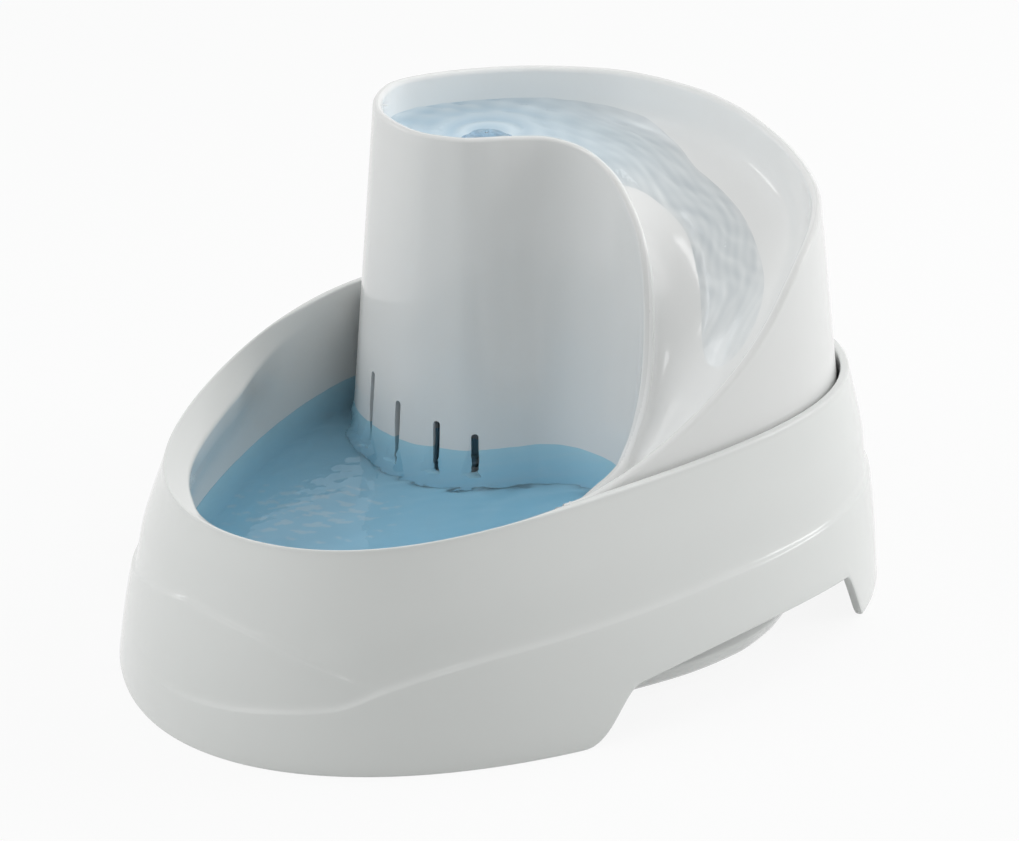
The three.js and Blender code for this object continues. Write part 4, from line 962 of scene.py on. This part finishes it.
def speckledFinish(name, low, high, scale, roughness, depth):
    # Pressed grains: a fine noise raised to a power leaves scattered bright specks
    finish = Finish(name)
    grain = finish.noise(scale, 4, 0.7)
    specks = 6 * grain ** 4
    shader = finish.node("ShaderNodeBsdfPrincipled", {}, {
        "Base Color": finish.mixColour(specks, low, high), "Roughness": roughness + 0.2 * grain - 0.1,
        "Normal": finish.bump(grain, depth)})[0]
    return finish.surface(shader)


def cellFinish(name, low, high, scale, depth, roughness, stretch=(1, 1, 1)):
    # Open cells or matted fibres, with painted shade: dark in the hollows inside the cells, light on the walls between
    # them
    finish = Finish(name)
    cells = finish.node("ShaderNodeTexVoronoi", {"feature": "F1"},
                        {"Vector": finish.place(stretch), "Scale": scale})["Distance"]
    cloud = finish.noise(60, 3, 0.6)
    tint = finish.mixColour(1.1 * cells + 0.3 * cloud - 0.2, low, high)
    shader = finish.node("ShaderNodeBsdfPrincipled", {}, {
        "Base Color": tint, "Roughness": roughness + 0.1 * cloud, "Sheen Weight": 0.15,
        "Normal": finish.bump(cells, depth)})[0]
    return finish.surface(shader)


def siliconeFinish(name, low, high):
    # Milky soft moulding that lets some light through
    finish = Finish(name)
    cloud, fine = finish.noise(120, 3, 0.6), finish.noise(1500, 2, 0.6)
    shader = finish.node("ShaderNodeBsdfPrincipled", {}, {
        "Base Color": finish.mixColour(cloud, low, high), "Roughness": 0.3 + 0.15 * cloud, "IOR": 1.41,
        "Transmission Weight": 0.45, "Normal": finish.bump(fine, 0.00002)})[0]
    return finish.surface(shader)


def waterFinish(name, tint, density, low, high, rippleScale, rippleDepth, film=None):
    # Clear water with an absorbing body, its colour lighter where highlights and reflections of its waves are
    # painted, and clearer where it is a film. Light that only passes goes straight through
    finish = Finish(name)
    ripple = finish.noise(rippleScale, 3, 0.5)
    reading = lambda key: finish.node("ShaderNodeAttribute", {"attribute_name": key})["Fac"]
    colour = finish.mixColour(reading("wave"), low, high)
    if film:
        # On the film, the grey and white streaks are painted reflections
        colour = finish.mixColour(reading("film"), colour, finish.mixColour(reading("wave"), *film))
    shader = finish.node("ShaderNodeBsdfPrincipled", {}, {
        "Base Color": colour, "Roughness": 0.01, "IOR": 1.33, "Transmission Weight": 1.0,
        "Normal": finish.bump(ripple, rippleDepth)})[0]
    clear = finish.node("ShaderNodeBsdfTransparent", {}, {"Color": (0.97, 0.99, 1.0)})[0]
    path = finish.node("ShaderNodeLightPath")
    passing = path["Is Shadow Ray"] + path["Is Diffuse Ray"]
    mixed = finish.node("ShaderNodeMixShader", {}, {0: passing, 1: shader, 2: clear})[0]
    body = finish.node("ShaderNodeVolumeAbsorption", {}, {"Color": tint, "Density": density})[0]
    return finish.surface(mixed, body)


def dress(piece, material):
    piece.data.materials.clear()
    piece.data.materials.append(material)


bowlWhite = mouldedPlastic("bowlWhite", (0.775, 0.785, 0.775), (0.757, 0.768, 0.759), 0.1)
towerWhite = mouldedPlastic("towerWhite", (0.80, 0.802, 0.798), (0.785, 0.787, 0.783), 0.1)
trayWhite = mouldedPlastic("trayWhite", (0.885, 0.887, 0.884), (0.87, 0.872, 0.869), 0.1)
# The second colour of each water is its painted highlight on the waves; the film's grey and white are painted streaks
# of reflection
poolBlue = waterFinish("poolBlue", (0.13, 0.67, 0.98), 5.0, (0.28, 0.74, 1.0), (0.55, 0.86, 1.0), 60, 0.0006)
dishBlue = waterFinish("dishBlue", (0.2, 0.68, 0.97), 8.0, (0.36, 0.53, 0.67), (0.92, 0.97, 1.0), 90, 0.0004,
                       film=((0.58, 0.61, 0.64), (1.0, 1.0, 1.0)))
wellingBlue = waterFinish("wellingBlue", (0.4, 0.7, 0.9), 12.0, (0.42, 0.52, 0.60), (0.6, 0.7, 0.78), 220, 0.0003)

foamBlue = cellFinish("foamBlue", (0.055, 0.11, 0.165), (0.16, 0.28, 0.38), 900, 0.0005, 0.85)
carbonFelt = cellFinish("carbonFelt", (0.006, 0.0065, 0.007), (0.026, 0.027, 0.028), 1500, 0.0003, 0.75, (1, 1, 0.25))
satinBlack = mouldedPlastic("satinBlack", (0.021, 0.023, 0.027), (0.014, 0.016, 0.019), 0.4, 0, 0.00004, 1600)
greyRubber = mouldedPlastic("greyRubber", (0.047, 0.052, 0.057), (0.037, 0.041, 0.045), 0.7, 0, 0.00003, 1100)
filterWhite = mouldedPlastic("filterWhite", (0.745, 0.772, 0.78), (0.715, 0.742, 0.75), 0.38, 0, 0.00003, 1300)
dialWhite = mouldedPlastic("dialWhite", (0.695, 0.71, 0.716), (0.665, 0.68, 0.686), 0.34, 0, 0.00003, 1300)
milkySilicone = siliconeFinish("milkySilicone", (0.56, 0.6, 0.61), (0.62, 0.65, 0.66))
magnetBlack = speckledFinish("magnetBlack", (0.035, 0.032, 0.03), (0.11, 0.1, 0.095), 2600, 0.6, 0.00003)
groundCeramic = bandedFinish("groundCeramic", (0.82, 0.82, 0.79), (0.87, 0.87, 0.84), "Y", 0.00018, 0.000004, 0.22)
sheetSteel = bandedFinish("sheetSteel", (0.2, 0.21, 0.22), (0.46, 0.48, 0.5), "Y", 0.0005, 0.00008, 0.38, 1.0)
copperWire = bandedFinish("copperWire", (0.3, 0.08, 0.02), (0.72, 0.27, 0.09), "X", 0.0004, 0.00012, 0.28, 1.0, 0.4)

for piece, finish, slot in ((bowlShell, bowlWhite, "shell"), (bowlRibs, bowlWhite, "shell"),
                            (towerShell, towerWhite, "shell"), (dishAndChute, trayWhite, "shell"),
                            (filterFoam, foamBlue, "foam"), (filterCarbon, carbonFelt, "carbon"),
                            (poolWater, poolBlue, None), (towerWater, dishBlue, None),
                            (wellingWater, wellingBlue, None)):
    dress(piece, finish)

suctionCups = [f"suction_cup_{number}" for number in (1, 2, 3, 4)]
for finish, nodes in ((trayWhite, ["nozzle_collar"]), (milkySilicone, ["riser_tube", *suctionCups]),
                      (greyRubber, ["riser_seal", "chamber_seal", "cord_gland", "shaft_bush_front", "shaft_bush_rear"]),
                      (satinBlack, ["pump_body", "pump_back_plate", "pump_volute", "intake_grille"]),
                      (dialWhite, ["flow_dial", "impeller"]), (filterWhite, ["filter_frame", "filter_front_grille"]),
                      (magnetBlack, ["impeller_magnet"]), (groundCeramic, ["impeller_shaft"]),
                      (sheetSteel, ["stator_core"]), (copperWire, ["stator_winding"])):
    for node in nodes:
        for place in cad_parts[node].material_slots:
            place.material = finish
print("materials made")

# Pieces ride on the frame's bodies

for piece, body, nodes in ((bowlShell, "base", ["base_bowl"]), (bowlRibs, "base", ["base_bowl"]),
                           (towerShell, "tower", ["tower_casing"]), (dishAndChute, "tower", ["dish_and_chute"]),
                           (filterFoam, "base", ["filter_foam"]), (filterCarbon, "base", ["filter_carbon"]),
                           (poolWater, "base", []), (towerWater, "tower", []), (wellingWater, "tower", [])):
    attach(piece, body)
    if nodes:
        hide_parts(*nodes)

# Floor, world and lamps

stage = dict(floorSize=8.0, floorGlow=0.9, worldLight=0.42, gloss=0.92, lampDistance=1.4, lampAim=(0, 0, 0.08))


def makeFloor():
    half = stage["floorSize"] / 2
    mesh = bpy.data.meshes.new("studioFloor")
    mesh.from_pydata([(-half, -half, 0), (half, -half, 0), (half, half, 0), (-half, half, 0)], [], [(0, 1, 2, 3)])
    floor = bpy.data.objects.new("studioFloor", mesh)
    scene.collection.objects.link(floor)
    finish = Finish("studioFloor")
    tone = finish.mixColour(finish.noise(3, 2), (0.74, 0.75, 0.745), (0.755, 0.765, 0.76))
    plain = finish.node("ShaderNodeBsdfPrincipled", {}, {"Base Color": tone, "Roughness": 0.8})[0]
    path = finish.node("ShaderNodeLightPath")
    white = finish.mixColour(path["Is Glossy Ray"], (1, 1, 1), (stage["gloss"],) * 3)
    glow = finish.node("ShaderNodeEmission", {}, {"Color": white, "Strength": 1.0})[0]
    seen = path["Is Camera Ray"] + path["Is Glossy Ray"] + path["Is Transmission Ray"]
    shader = finish.node("ShaderNodeMixShader", {}, {0: seen * stage["floorGlow"], 1: plain, 2: glow})[0]
    dress(floor, finish.surface(shader))


def makeWorld():
    world = bpy.data.worlds.new("studioWorld")
    scene.world = world
    world.use_nodes = True
    finish = Finish("studioWorld", world.node_tree)
    path = finish.node("ShaderNodeLightPath")
    seen = path["Is Camera Ray"] + path["Is Glossy Ray"] + path["Is Transmission Ray"]
    light = finish.node("ShaderNodeBackground", {}, {"Color": (0.98, 1.0, 0.985), "Strength": stage["worldLight"]})[0]
    shine = finish.mixColour(path["Is Glossy Ray"], (1, 1, 1), (stage["gloss"],) * 3)
    white = finish.node("ShaderNodeBackground", {}, {"Color": shine, "Strength": 1.0})[0]
    mixed = finish.node("ShaderNodeMixShader", {}, {0: seen, 1: light, 2: white})[0]
    finish.node("ShaderNodeOutputWorld", {}, {"Surface": mixed})


# Degrees from the front and above the floor, watts, and width and height in metres, all at the same distance
shadingLamps = dict(leftLow=(-40, 20, 2.3, 0.6, 0.6), frontLow=(-10, 20, 0.7, 0.6, 0.6),
                    leftHigh=(-40, 50, 2.4, 0.6, 0.6), leftSide=(-70, 45, 1.8, 0.6, 0.6),
                    overhead=(0, 88, 1.3, 0.6, 0.6), rightLow=(132, 20, 6.4, 0.6, 0.6),
                    rightHigh=(135, 50, 1.6, 0.6, 0.6), rear=(170, 35, 3.8, 0.6, 0.6))
# Panels that only show as highlights
shiningLamps = dict(frontCard=(-22, 33, 0.35, 0.5, 0.25), creaseCard=(52, 32, 0.4, 0.3, 0.12),
                    leftCard=(-74, 20, 0.45, 0.45, 0.12), rightCard=(140, 20, 1.6, 0.5, 0.3))
strip = dict(place=(0.115, 0.05, 1.2), width=0.05, length=1.2, power=0.75)


def makeLamp(name, place, aim, power, width, height, shines):
    # Each lamp either shades the piece or shows in its gloss
    data = bpy.data.lights.new(name, "AREA")
    data.shape, data.size, data.size_y, data.energy = "RECTANGLE", width, height, power
    lamp = bpy.data.objects.new(name, data)
    lamp.location = place
    lamp.rotation_euler = (Vector(aim) - Vector(place)).to_track_quat("-Z", "Y").to_euler()
    lamp.visible_diffuse, lamp.visible_glossy = not shines, shines
    scene.collection.objects.link(lamp)


def makeLamps(table, shines):
    aim = Vector(stage["lampAim"])
    for name, (degrees, above, power, width, height) in table.items():
        heading, climb = math.radians(degrees), math.radians(above)
        away = Vector((math.sin(heading) * math.cos(climb), -math.cos(heading) * math.cos(climb), math.sin(climb)))
        makeLamp(name, aim + away * stage["lampDistance"], aim, power, width, height, shines)


makeFloor()
makeWorld()
makeLamps(shadingLamps, False)
makeLamps(shiningLamps, True)
makeLamp("strip", strip["place"], (*strip["place"][:2], 0), strip["power"], strip["width"], strip["length"], True)
print("stage made")
